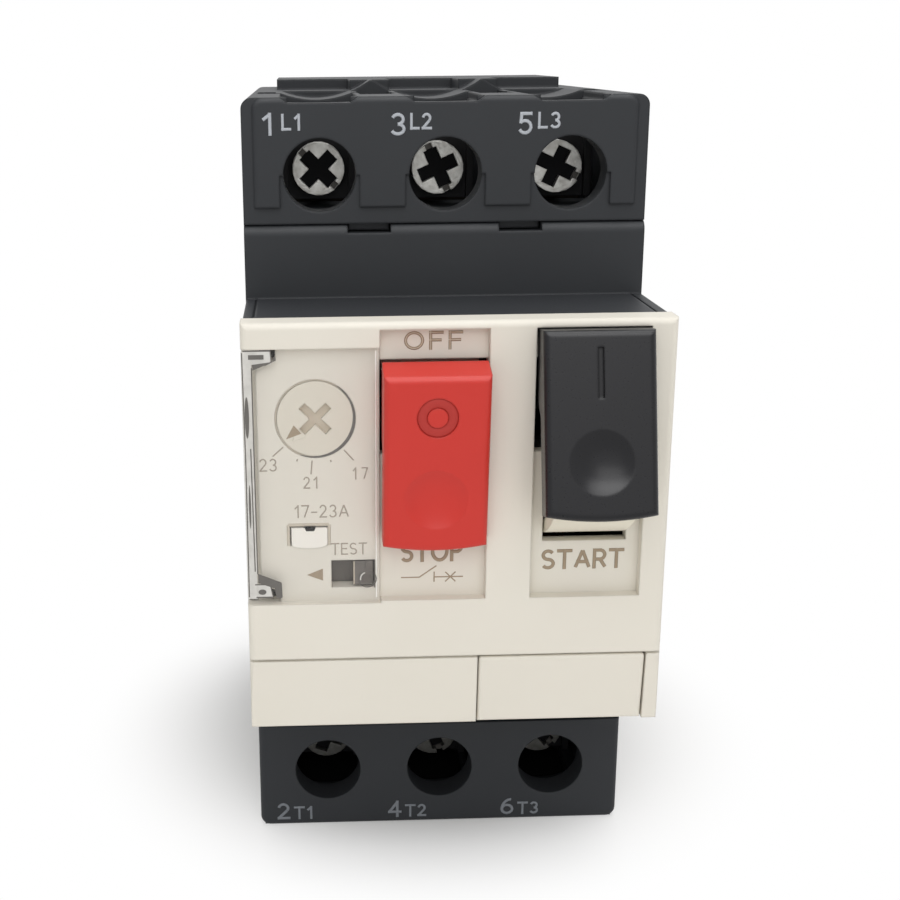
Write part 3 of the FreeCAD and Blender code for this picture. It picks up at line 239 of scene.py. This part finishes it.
def strokes(name, lines, width, face, ink, ride, rise=inkRise, turned=None):  # round strokes pressed flat
    curve = bpy.data.curves.new(name, "CURVE")
    curve.dimensions = "3D"
    curve.bevel_depth = width / 2
    curve.bevel_resolution = strokeForm["roundness"]
    curve.use_fill_caps = True
    for number, points in enumerate(lines):
        # strokes that cross are never level
        lift = width * strokeForm["lift"] * (number % strokeForm["lifts"])
        closed = (Vector(points[0]) - Vector(points[-1])).length < strokeForm["closeWithin"]
        points = points[:-1] if closed else points
        spline = curve.splines.new("POLY")
        spline.use_cyclic_u = closed
        spline.points.add(len(points) - 1)
        for spot, (x, z) in zip(spline.points, points):
            spot.co = (x, z, lift, 1.0)
    holder = bpy.data.objects.new(name, curve)
    bpy.context.scene.collection.objects.link(holder)
    bpy.context.view_layer.update()
    mesh = bpy.data.meshes.new_from_object(holder.evaluated_get(bpy.context.evaluated_depsgraph_get()))
    bpy.data.objects.remove(holder)
    bpy.data.curves.remove(curve)
    press = Matrix.Diagonal((mm, mm, mm * 2 * rise / width, 1.0))
    mesh.transform(Matrix.Translation((0.0, face * mm, 0.0)) @ Matrix.Rotation(math.pi / 2, 4, "X") @ press)
    if turned:
        mesh.transform(turned)
    addPiece(name, mesh, inks[ink], ride)


def plates(name, outlines, face, ink, ride, rise=inkRise):
    form = bmesh.new()
    for points in outlines:
        base = form.faces.new([form.verts.new((x * mm, face * mm, z * mm)) for x, z in points])
        lifted = bmesh.ops.extrude_face_region(form, geom=[base])["geom"]
        corners = [v for v in lifted if isinstance(v, bmesh.types.BMVert)]
        bmesh.ops.translate(form, vec=(0.0, -rise * mm, 0.0), verts=corners)
    bmesh.ops.recalc_face_normals(form, faces=form.faces[:])
    mesh = bpy.data.meshes.new(name)
    form.to_mesh(mesh)
    form.free()
    addPiece(name, mesh, inks[ink], ride)


def bow(centre, radii, start, end, steps=12):  # points along part of an ellipse
    turns = [math.radians(start + (end - start) * i / steps) for i in range(steps + 1)]
    return [(centre[0] + radii[0] * math.cos(t), centre[1] + radii[1] * math.sin(t)) for t in turns]


def circle(centre, radius, steps=24):
    return bow(centre, (radius, radius), 0, 360, steps)


def oval(centre, radii, steps=24):  # outline of a plate, so its last point isn't its first
    return bow(centre, radii, 0, 360, steps)[:-1]


def around(centre, radius, degrees):
    return bow(centre, (radius, radius), degrees, degrees, 1)[0]


def turnedAbout(centre, spots, degrees):
    turn = Matrix.Rotation(math.radians(degrees), 2)
    return [tuple(Vector(centre) + turn @ Vector(spot)) for spot in spots]


def crossOutline(centre, reach, half, degrees):
    points = []
    for arm in range(4):
        points += turnedAbout(centre, [(half, -half), (reach, -half), (reach, half)], degrees + 90 * arm)
    return points


def slotOutline(centre, start, end, half, degrees):
    return turnedAbout(centre, [(start, -half), (end, -half), (end, half), (start, half)], degrees)


letters = {  # width, then strokes, for a letter one high
    "1": (0.36, [[(0.0, 0.72), (0.3, 1.0)], [(0.3, 1.0), (0.3, 0.0)]]),
    "2": (0.58, [bow((0.28, 0.72), (0.26, 0.28), 170, -35), [(0.49, 0.55), (0.02, 0.02)],
                 [(0.02, 0.0), (0.58, 0.0)]]),
    "3": (0.58, [bow((0.28, 0.75), (0.25, 0.25), 160, -90), bow((0.28, 0.25), (0.29, 0.25), 90, -160)]),
    "4": (0.62, [[(0.46, 1.0), (0.46, 0.0)], [(0.46, 1.0), (0.0, 0.28)], [(0.0, 0.28), (0.62, 0.28)]]),
    "5": (0.58, [[(0.54, 1.0), (0.1, 1.0)], [(0.1, 1.0), (0.05, 0.5)],
                 bow((0.27, 0.32), (0.3, 0.32), 140, -155)]),
    "6": (0.6, [bow((0.3, 0.3), (0.29, 0.3), 0, 360), bow((0.52, 0.3), (0.51, 0.7), 90, 180)]),
    "7": (0.58, [[(0.0, 1.0), (0.58, 1.0)], [(0.58, 1.0), (0.2, 0.0)]]),
    "A": (0.8, [[(0.0, 0.0), (0.4, 1.0)], [(0.4, 1.0), (0.8, 0.0)], [(0.14, 0.33), (0.66, 0.33)]]),
    "E": (0.56, [[(0.0, 0.0), (0.0, 1.0)], [(0.0, 1.0), (0.56, 1.0)], [(0.0, 0.52), (0.48, 0.52)],
                 [(0.0, 0.0), (0.56, 0.0)]]),
    "F": (0.6, [[(0.0, 0.0), (0.0, 1.0)], [(0.0, 1.0), (0.6, 1.0)], [(0.0, 0.52), (0.5, 0.52)]]),
    "L": (0.5, [[(0.0, 0.0), (0.0, 1.0)], [(0.0, 0.0), (0.5, 0.0)]]),
    "O": (0.9, [bow((0.45, 0.5), (0.45, 0.5), 0, 360, 24)]),
    "P": (0.6, [[(0.0, 0.0), (0.0, 1.0)], [(0.0, 1.0), (0.32, 1.0)], [(0.0, 0.46), (0.32, 0.46)],
                bow((0.32, 0.73), (0.28, 0.27), 90, -90)]),
    "R": (0.64, [[(0.0, 0.0), (0.0, 1.0)], [(0.0, 1.0), (0.32, 1.0)], [(0.0, 0.46), (0.32, 0.46)],
                 bow((0.32, 0.73), (0.28, 0.27), 90, -90), [(0.34, 0.46), (0.64, 0.0)]]),
    "S": (0.62, [bow((0.31, 0.75), (0.29, 0.25), 30, 270), bow((0.31, 0.25), (0.31, 0.25), 90, -150)]),
    "T": (0.7, [[(0.0, 1.0), (0.7, 1.0)], [(0.35, 1.0), (0.35, 0.0)]]),
    "-": (0.42, [[(0.0, 0.42), (0.42, 0.42)]]),
}


def lengthened(line, by):  # upright and level strokes run on to close their corners
    a, b = Vector(line[0]), Vector(line[-1])
    if len(line) > 2 or min(abs(a.x - b.x), abs(a.y - b.y)) > by / 4:
        return line
    on = (b - a).normalized() * by
    return [tuple(a - on), tuple(b + on)]


def words(name, text, place, width, gap, face, ink, ride, rise=inkRise, thin=None):
    x0, x1, z0, z1 = place  # the words' edges
    wide = (x1 - x0 - width) / (sum(letters[c][0] for c in text) + gap * (len(text) - 1))
    high = z1 - z0 - width
    left = x0 + width / 2
    lines = []
    for c in text:
        for line in letters[c][1]:
            spots = [(left + x * wide, z0 + width / 2 + z * high) for x, z in line]
            lines.append(lengthened(spots, width / 2))
        left += (letters[c][0] + gap) * wide
    strokes(name, lines, thin or width, face, ink, ride, rise)


# Terminal marks

terminalMarks = dict(
    line=[("1", (-20.05, -18.76, 40.11, 42.53)), ("L1", (-17.89, -15.73, 40.61, 42.4)),
          ("3", (-6.11, -4.37, 39.95, 42.38)), ("L2", (-3.94, -1.55, 40.56, 42.35)),
          ("5", (7.81, 9.44, 39.9, 42.33)), ("L3", (9.98, 12.49, 40.51, 42.31))],
    load=[("2", (-20.25, -18.6, -43.3, -41.0)), ("T1", (-18.14, -15.75, -43.3, -41.5)),
          ("4", (-6.4, -4.7, -43.35, -41.05)), ("T2", (-4.27, -1.6, -43.35, -41.6)),
          ("6", (7.67, 9.4, -43.4, -41.1)), ("T3", (9.82, 12.5, -43.4, -41.65))],
    width={1: 0.38, 2: 0.31},  # stroke of the numbers, and of the letters with numbers
    gap=0.34)
for end in ("line", "load"):
    for text, place in terminalMarks[end]:
        words("mark_" + text, text, place, terminalMarks["width"][len(text)], terminalMarks["gap"],
              faces["shoulder"], end, rides["shoulder"])
print("terminal marks set")


# Words on the cover

keyWords = {
    "OFF": dict(place=(-5.65, 0.4, 19.33, 21.3), width=0.32, gap=0.42),
    "STOP": dict(place=(-6.02, 0.73, -3.81, -1.42), width=0.38, gap=0.3),
    "START": dict(place=(9.14, 18.11, -4.97, -2.68), width=0.38, gap=0.3),
}
offMiddle = dict(rise=2 * inkRise, thin=0.1)  # a paler line along the middle of each stroke
for text, setting in keyWords.items():
    words("word_" + text, text, **setting, face=faces["well"], ink="brown", ride=rides["cover"])
words("word_OFF_middle", "OFF", **keyWords["OFF"], **offMiddle, face=faces["well"], ink="pale",
      ride=rides["cover"])
panel = dict(
    words=[("23", (-20.78, -18.91, 6.7, 8.11), 0.3), ("21", (-16.23, -14.66, 4.75, 6.07), 0.42),
           ("17", (-11.05, -9.41, 5.66, 7.0), 0.7), ("17-23A", (-17.23, -11.44, 1.52, 2.96), 0.3),
           ("TEST", (-13.39, -9.56, -2.7, -1.35), 0.3)],  # edges, and the gap between letters
    width=0.15, testArrow=[(-15.99, -4.9), (-14.28, -5.58), (-14.28, -4.21)])
for text, place, gap in panel["words"]:
    words("panel_" + text, text, place, panel["width"], gap, faces["panel"], "thin", rides["cover"])
plates("test_arrow", [panel["testArrow"]], faces["panel"], "brown", rides["cover"])
isolator = dict(
    lines=[[(-5.91, -5.55), (-3.95, -5.55)], [(-3.95, -5.55), (-2.1, -4.26)],  # contact
           [(-2.35, -4.95), (-2.35, -6.1)], [(-2.35, -5.55), (0.76, -5.55)],  # pole
           [(-1.15, -5.0), (-0.05, -6.1)], [(-0.05, -5.0), (-1.15, -6.1)]],  # release
    width=0.14)
strokes("isolator_sign", isolator["lines"], isolator["width"], faces["well"], "brown", rides["cover"])
print("cover words set")


# Setting dial

dial = dict(centre=(-14.85, 12.3), tickWidth=0.15, longTicks=(221.5, 265, 311), longFrom=4.5, longTo=6.0,
            shortTicks=(246, 289), shortFrom=4.7, shortTo=4.95,
            crossReach=1.93, crossHalf=0.42, crossTurn=45,
            fillTurn=225, fillFrom=2.1, fillTo=3.35, fillHalf=0.6, fillDepth=0.3,
            arrow=((-3.06, -2.13), (-1.46, -1.55), (-2.24, -0.64)), rimRadius=4.11, rimWidth=0.17,
            holeRadius=4.19, shadeShift=(0.3, -0.16), shadeOuter=83, shadeInner=81)
middle = Vector(dial["centre"])
ticks = [[around(middle, dial[kind + end], a) for end in ("From", "To")]
         for kind in ("long", "short") for a in dial[kind + "Ticks"]]
strokes("dial_ticks", ticks, dial["tickWidth"], faces["panel"], "thin", rides["cover"])
cross = crossOutline(middle, dial["crossReach"], dial["crossHalf"], dial["crossTurn"])
plates("dial_cross", [cross], faces["dialCross"], "pale", rides["dial"])
tip = around(middle, dial["fillTo"], dial["fillTurn"])
root = Vector(around(middle, dial["fillFrom"], dial["fillTurn"]))
wing = Vector(around((0.0, 0.0), dial["fillHalf"], dial["fillTurn"] + 90))
wedge = [tip, tuple(root + wing), tuple(root - wing)]  # closes the pointer's groove
plates("dial_fill", [wedge], faces["panel"] + dial["fillDepth"], "dial", rides["dial"], dial["fillDepth"])
arrow = [tuple(middle + Vector(spot)) for spot in dial["arrow"]]
plates("dial_arrow", [arrow], faces["panel"], "brown", rides["dial"])
rim = circle(middle, dial["rimRadius"], steps=48)
strokes("dial_rim", [rim], dial["rimWidth"], faces["dialRim"], "rim", rides["cover"])
shift = Vector(dial["shadeShift"])  # the shade is a crescent between the hole's edge and that edge shifted
lean = math.degrees(math.atan2(shift.y, shift.x))
hole = (dial["holeRadius"], dial["holeRadius"])
outer = bow(middle, hole, lean - dial["shadeOuter"], lean + dial["shadeOuter"], steps=24)
inner = bow(middle - shift, hole, lean + dial["shadeInner"], lean - dial["shadeInner"], steps=24)
plates("dial_shade", [outer + inner], faces["panel"], "gap", rides["cover"])
print("dial set")


# Seal tab, test slider and the ring on the STOP key

seal = dict(window=(-17.86, -13.58, -1.57, 0.75), frame=0.36, tab=(-17.55, -13.74, -1.4, 0.45), bow=0.48,
            notch=[(-16.2, 0.6), (-14.95, 0.6), (-15.15, 0.08), (-16.0, 0.08)])
x0, x1, z0, z1 = seal["window"]
sides = [[(x0, z0), (x0, z1)], [(x0, z1), (x1, z1)], [(x1, z1), (x1, z0)]]
strokes("seal_frame", sides, seal["frame"], faces["panel"], "rim", rides["cover"])
x0, x1, z0, z1 = seal["tab"]
foot = bow(((x0 + x1) / 2, z0), ((x1 - x0) / 2, seal["bow"]), 180, 360)
plates("seal_face", [[(x1, z1), (x0, z1)] + foot], faces["tab"], "white", rides["tab"])
# painted shade: black in the tab's notch
plates("seal_notch", [seal["notch"]], faces["tab"] - inkRise, "black", rides["tab"])
slider = dict(edge=[(-10.95, -6.15), (-10.95, -3.55)], width=0.15)
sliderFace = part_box("test_slider")[0][1] / mm
strokes("slider_edge", [slider["edge"]], slider["width"], sliderFace, "pale", rides["slider"])
stopKey = dict(shaft=(-2.575, -57.6, 15.85), tilt=-6.0, ringFace=-11.85, ringUp=-1.26, ringRadius=1.575,
               ringWidth=1.5, ringRise=0.34)  # ring drawn about the shaft, on a key that is upright
atShaft = Matrix.Translation(Vector(stopKey["shaft"]) * mm)
atRest = atShaft @ Matrix.Rotation(math.radians(-stopKey["tilt"]), 4, "X")
ring = circle((0.0, stopKey["ringUp"]), stopKey["ringRadius"], steps=36)
strokes("stop_ring", [ring], stopKey["ringWidth"], stopKey["ringFace"], "redShade", rides["stopKey"],
        stopKey["ringRise"], atRest)
print("tab, slider and key ring set")


# Terminal screws: painted shade, black in the cross recesses and dim grey on the floors of the slots

screws = dict(reach=2.3, half=0.8, depth=1.0, slotTo=2.9, slotHalf=0.4, slotDepth=0.8,
              turns=dict(line=(45, 66, 25), load=(20, 70, 50)))
for end, turns in screws["turns"].items():
    for number, turn in enumerate(turns, 1):
        low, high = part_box(f"{end}_screw_{number}")
        head = low[1] / mm
        spot = ((low[0] + high[0]) / 2 / mm, (low[2] + high[2]) / 2 / mm)
        ride = (f"{end}_terminal_{number}", "plated_steel")
        recess = crossOutline(spot, screws["reach"], screws["half"], -turn)
        plates(f"{end}_recess_{number}", [recess], head + screws["depth"], "black", ride)
        slots = [slotOutline(spot, screws["reach"], screws["slotTo"], screws["slotHalf"], way - turn)
                 for way in (0, 180)]
        plates(f"{end}_slot_{number}", slots, head + screws["slotDepth"], "slot", ride)
print("screws set")


# Clear flap: where its edges and hooks bend the light they look dark

flap = dict(
    strip=[(-22.3, -7.1), (-21.25, -7.1), (-21.25, 19.7), (-22.3, 19.7)],
    clips=[[(-21.23, 18.35), (-19.3, 18.35), (-19.3, 19.7), (-21.23, 19.7)],
           [(-21.23, -7.0), (-19.6, -7.0), (-19.9, -5.5), (-21.23, -5.5)]],
    edge=[[(-22.2, 19.6), (-22.1, 8.0), (-22.15, -6.9)], [(-21.25, 18.0), (-21.2, -4.3)],
          [(-21.55, 9.5), (-21.45, -4.0)]],
    hook=[[(-22.1, 19.75), (-19.3, 19.75)], [(-19.3, 19.75), (-19.2, 18.6), (-19.8, 18.3), (-21.2, 18.25)],
          [(-21.15, -4.35), (-18.75, -5.35)], [(-18.75, -5.35), (-18.7, -7.0)],
          [(-21.1, -4.9), (-19.35, -5.6), (-19.2, -7.0)],
          [(-21.5, -5.5), (-19.9, -5.5)], [(-19.9, -5.5), (-19.6, -6.9)], [(-21.4, -6.95), (-19.6, -6.95)]],
    lens=[oval((-21.85, 12.8), (0.22, 2.2)), oval((-21.8, 3.2), (0.1, 2.4)),
          [(-21.55, 18.88), (-19.98, 18.88), (-19.98, 19.35), (-21.55, 19.35)],
          [(-21.15, 17.75), (-18.75, 18.75), (-18.8, 19.5), (-19.15, 18.6), (-21.15, 18.35)],
          oval((-20.75, -6.35), (0.42, 0.3)),
          [(-21.15, -4.4), (-20.05, -4.8), (-18.75, -5.45), (-18.7, -7.05), (-19.25, -7.05), (-19.45, -5.95),
           (-21.15, -5.3)]],
    eye=[circle((-9.6, -4.9), 0.93), circle((-9.6, -4.9), 0.55)],
    eyeLight=[bow((-9.6, -4.9), (0.74, 0.74), 110, 190)],
    catch=[[(-9.75, -3.8), (-9.75, -2.95)], [(-9.75, -2.95), (-8.8, -2.95)], [(-8.8, -2.95), (-8.8, -6.1)]],
    rightEdge=[[(-8.62, 19.6), (-8.62, -7.2)]],
    finest=0.1, fine=0.12, bold=0.14)  # widths of the lines
overStrip = faces["flap"] - inkRise
plates("flap_edge_strip", [flap["strip"]] + flap["clips"], faces["flap"], "glass", rides["flap"])
strokes("flap_edge_lines", flap["edge"], flap["fine"], overStrip, "shade", rides["flap"])
strokes("flap_hook_lines", flap["hook"], flap["bold"], overStrip, "shade", rides["flap"])
plates("flap_dark_lenses", flap["lens"], overStrip, "shade", rides["flap"])
strokes("flap_eye_lines", flap["eye"], flap["fine"], faces["eye"], "shade", rides["flap"])
strokes("flap_eye_light", flap["eyeLight"], flap["bold"], faces["eye"], "glass", rides["flap"])
strokes("flap_catch_lines", flap["catch"], flap["finest"], faces["flap"], "shade", rides["flap"])
strokes("flap_bright_edge", flap["rightEdge"], flap["bold"], faces["flap"], "bright", rides["flap"])
print("flap set")


# Rail latch spring, which the latch presses together against its lower end as it slides down: here a copy
# with doubled points merged and flat faces, carried on the housing in place of the part

latchSpring = dict(node="din_latch_spring", joint="rail_latch_slide", travel=3.5, mergeWithin=0.001)
low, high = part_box(latchSpring["node"])
form = bmesh.new()
form.from_mesh(nodes[latchSpring["node"]].data)
bmesh.ops.remove_doubles(form, verts=form.verts[:], dist=latchSpring["mergeWithin"] * mm)
for leaf in form.faces:
    leaf.smooth = False
mesh = bpy.data.meshes.new("latch_spring_folds")
form.to_mesh(mesh)
form.free()
folded = addPiece("latch_spring_folds", mesh, materials["steel"], rides["spring"])
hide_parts(latchSpring["node"])
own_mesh(folded)
print("latch spring set")


# Floor, light, camera

studio = dict(white="#ffffff", ambient=0.52, background=1.0)  # light on the part, and what is seen behind it
# under is the tone of the painted shadow inside the part's footprint
floorLook = dict(half=1.5, pale="#f4f3f1", under="#1c1c1c", inset=0.0005, glow=1.0, glowFrom=0.021,
                 glowTo=0.049)
lights = dict(
    topSoftbox=dict(place=(-0.02, -0.52, 0.44), wide=0.5, deep=0.5, power=1.62),
    frontSoftbox=dict(place=(0.05, -0.62, 0.1), wide=0.5, deep=0.5, power=0.24),
    backSoftbox=dict(place=(0.06, 0.0, 0.7), wide=0.4, deep=0.4, power=2.2),
    shineCard=dict(place=(0.0, -0.42, 0.62), wide=1.0, deep=0.35, power=4.0, shineOnly=True),
)
view = dict(place=(-16.063, -202.158, 48.346), turn=(73.963, 0.5462, -1.933), lens=54.861, sensor=36.0,
            shift=0.1168, nearest=5.0)  # mm and degrees


def seenRays(tree):  # one for what the camera sees straight, mirrored or through
    rays = addNode(tree, "ShaderNodeLightPath")
    mirrored = addNode(tree, "ShaderNodeMath", operation="ADD", use_clamp=True,
                       links={0: rays.outputs["Is Camera Ray"], 1: rays.outputs["Is Glossy Ray"]})
    return addNode(tree, "ShaderNodeMath", operation="ADD", use_clamp=True,
                   links={0: mirrored.outputs[0], 1: rays.outputs["Is Transmission Ray"]}).outputs[0]


def addWorld():
    world = bpy.data.worlds.new("studio")
    world.use_nodes = True
    tree = world.node_tree
    tree.nodes.clear()
    strength = addNode(tree, "ShaderNodeMapRange",
                       {"To Min": studio["ambient"], "To Max": studio["background"]},
                       {"Value": seenRays(tree)})
    sky = addNode(tree, "ShaderNodeBackground", {"Color": linear(studio["white"])},
                  {"Strength": strength.outputs["Result"]})
    addNode(tree, "ShaderNodeOutputWorld", links={"Surface": sky.outputs["Background"]})
    bpy.context.scene.world = world


def floorMaterial(z, low, high):  # matt white board: a painted shadow, dark, where the part stands on it, and whiter away from it
    material, tree = newMaterial("mattWhiteBoard")
    coords = addNode(tree, "ShaderNodeTexCoord").outputs["Object"]
    centre = ((low[0] + high[0]) / 2, (low[1] + high[1]) / 2, z)
    reach = [(high[i] - low[i]) / 2 - floorLook["inset"] for i in (0, 1)]
    offset = addNode(tree, "ShaderNodeVectorMath", {1: centre}, {0: coords}, operation="SUBTRACT")
    scaled = addNode(tree, "ShaderNodeVectorMath", {1: (*reach, 1.0)}, {0: offset.outputs["Vector"]},
                     operation="DIVIDE")
    size = addNode(tree, "ShaderNodeVectorMath", links={0: scaled.outputs["Vector"]}, operation="ABSOLUTE")
    axes = addNode(tree, "ShaderNodeSeparateXYZ", links={0: size.outputs["Vector"]})
    most = addNode(tree, "ShaderNodeMath", links={0: axes.outputs["X"], 1: axes.outputs["Y"]},
                   operation="MAXIMUM")
    beyond = addNode(tree, "ShaderNodeMath", {1: 1.0}, {0: most.outputs[0]}, operation="GREATER_THAN")
    # painted shadow: the board's tone is dark inside the part's footprint
    tone = addNode(tree, "ShaderNodeMix", {"A": linear(floorLook["under"]), "B": linear(floorLook["pale"])},
                   {"Factor": beyond.outputs[0]}, data_type="RGBA")
    board = addNode(tree, "ShaderNodeBsdfDiffuse", links={"Color": tone.outputs["Result"]})
    away = addNode(tree, "ShaderNodeVectorMath", {1: centre}, {0: coords}, operation="DISTANCE")
    fade = addNode(tree, "ShaderNodeMapRange",
                   {"From Min": floorLook["glowFrom"], "From Max": floorLook["glowTo"],
                    "To Max": floorLook["glow"]},
                   {"Value": away.outputs["Value"]}, interpolation_type="SMOOTHSTEP")
    outside = addNode(tree, "ShaderNodeMath", links={0: beyond.outputs[0], 1: fade.outputs["Result"]},
                      operation="MULTIPLY")
    share = addNode(tree, "ShaderNodeMath", links={0: seenRays(tree), 1: outside.outputs[0]},
                    operation="MULTIPLY")
    glow = addNode(tree, "ShaderNodeEmission", {"Color": linear(studio["white"])})
    both = addNode(tree, "ShaderNodeMixShader", links={"Fac": share.outputs[0]})
    tree.links.new(board.outputs["BSDF"], both.inputs[1])
    tree.links.new(glow.outputs["Emission"], both.inputs[2])
    addNode(tree, "ShaderNodeOutputMaterial", links={"Surface": both.outputs["Shader"]})
    return material


def addFloor(z, low, high):  # the part stands on it from low to high, in X and Y
    form = bmesh.new()
    bmesh.ops.create_grid(form, x_segments=1, y_segments=1, size=floorLook["half"])
    bmesh.ops.translate(form, vec=(0.0, 0.0, z), verts=form.verts[:])
    mesh = bpy.data.meshes.new("floor")
    form.to_mesh(mesh)
    form.free()
    mesh.materials.append(floorMaterial(z, low, high))
    floor = bpy.data.objects.new("floor", mesh)
    bpy.context.scene.collection.objects.link(floor)


def addLight(name, place, wide, deep, power, shineOnly=False):  # shineOnly shows in gloss and lights nothing
    data = bpy.data.lights.new(name, "AREA")
    data.shape = "RECTANGLE"
    data.size = wide
    data.size_y = deep
    data.energy = power
    light = bpy.data.objects.new(name, data)
    light.location = place
    light.visible_diffuse = not shineOnly
    aim = (cadBox[0] + cadBox[1]) / 2
    light.rotation_euler = (aim - Vector(place)).to_track_quat("-Z", "Y").to_euler()
    bpy.context.scene.collection.objects.link(light)


def addCamera():
    camera = bpy.data.objects.new("camera", bpy.data.cameras.new("camera"))
    camera.location = Vector(view["place"]) * mm
    camera.rotation_euler = [math.radians(a) for a in view["turn"]]
    camera.data.lens = view["lens"]
    camera.data.sensor_width = view["sensor"]
    camera.data.shift_x = view["shift"]
    camera.data.clip_start = view["nearest"] * mm
    bpy.context.scene.collection.objects.link(camera)
    bpy.context.scene.camera = camera


addWorld()
front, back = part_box("load_terminal_cover"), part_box("rear_base")
addFloor(cadBox[0][2], front[0], (front[1][0], back[1][1]))
for name, light in lights.items():
    addLight(name, **light)
addCamera()
bpy.context.scene.view_settings.view_transform = "Standard"
print("stage set")
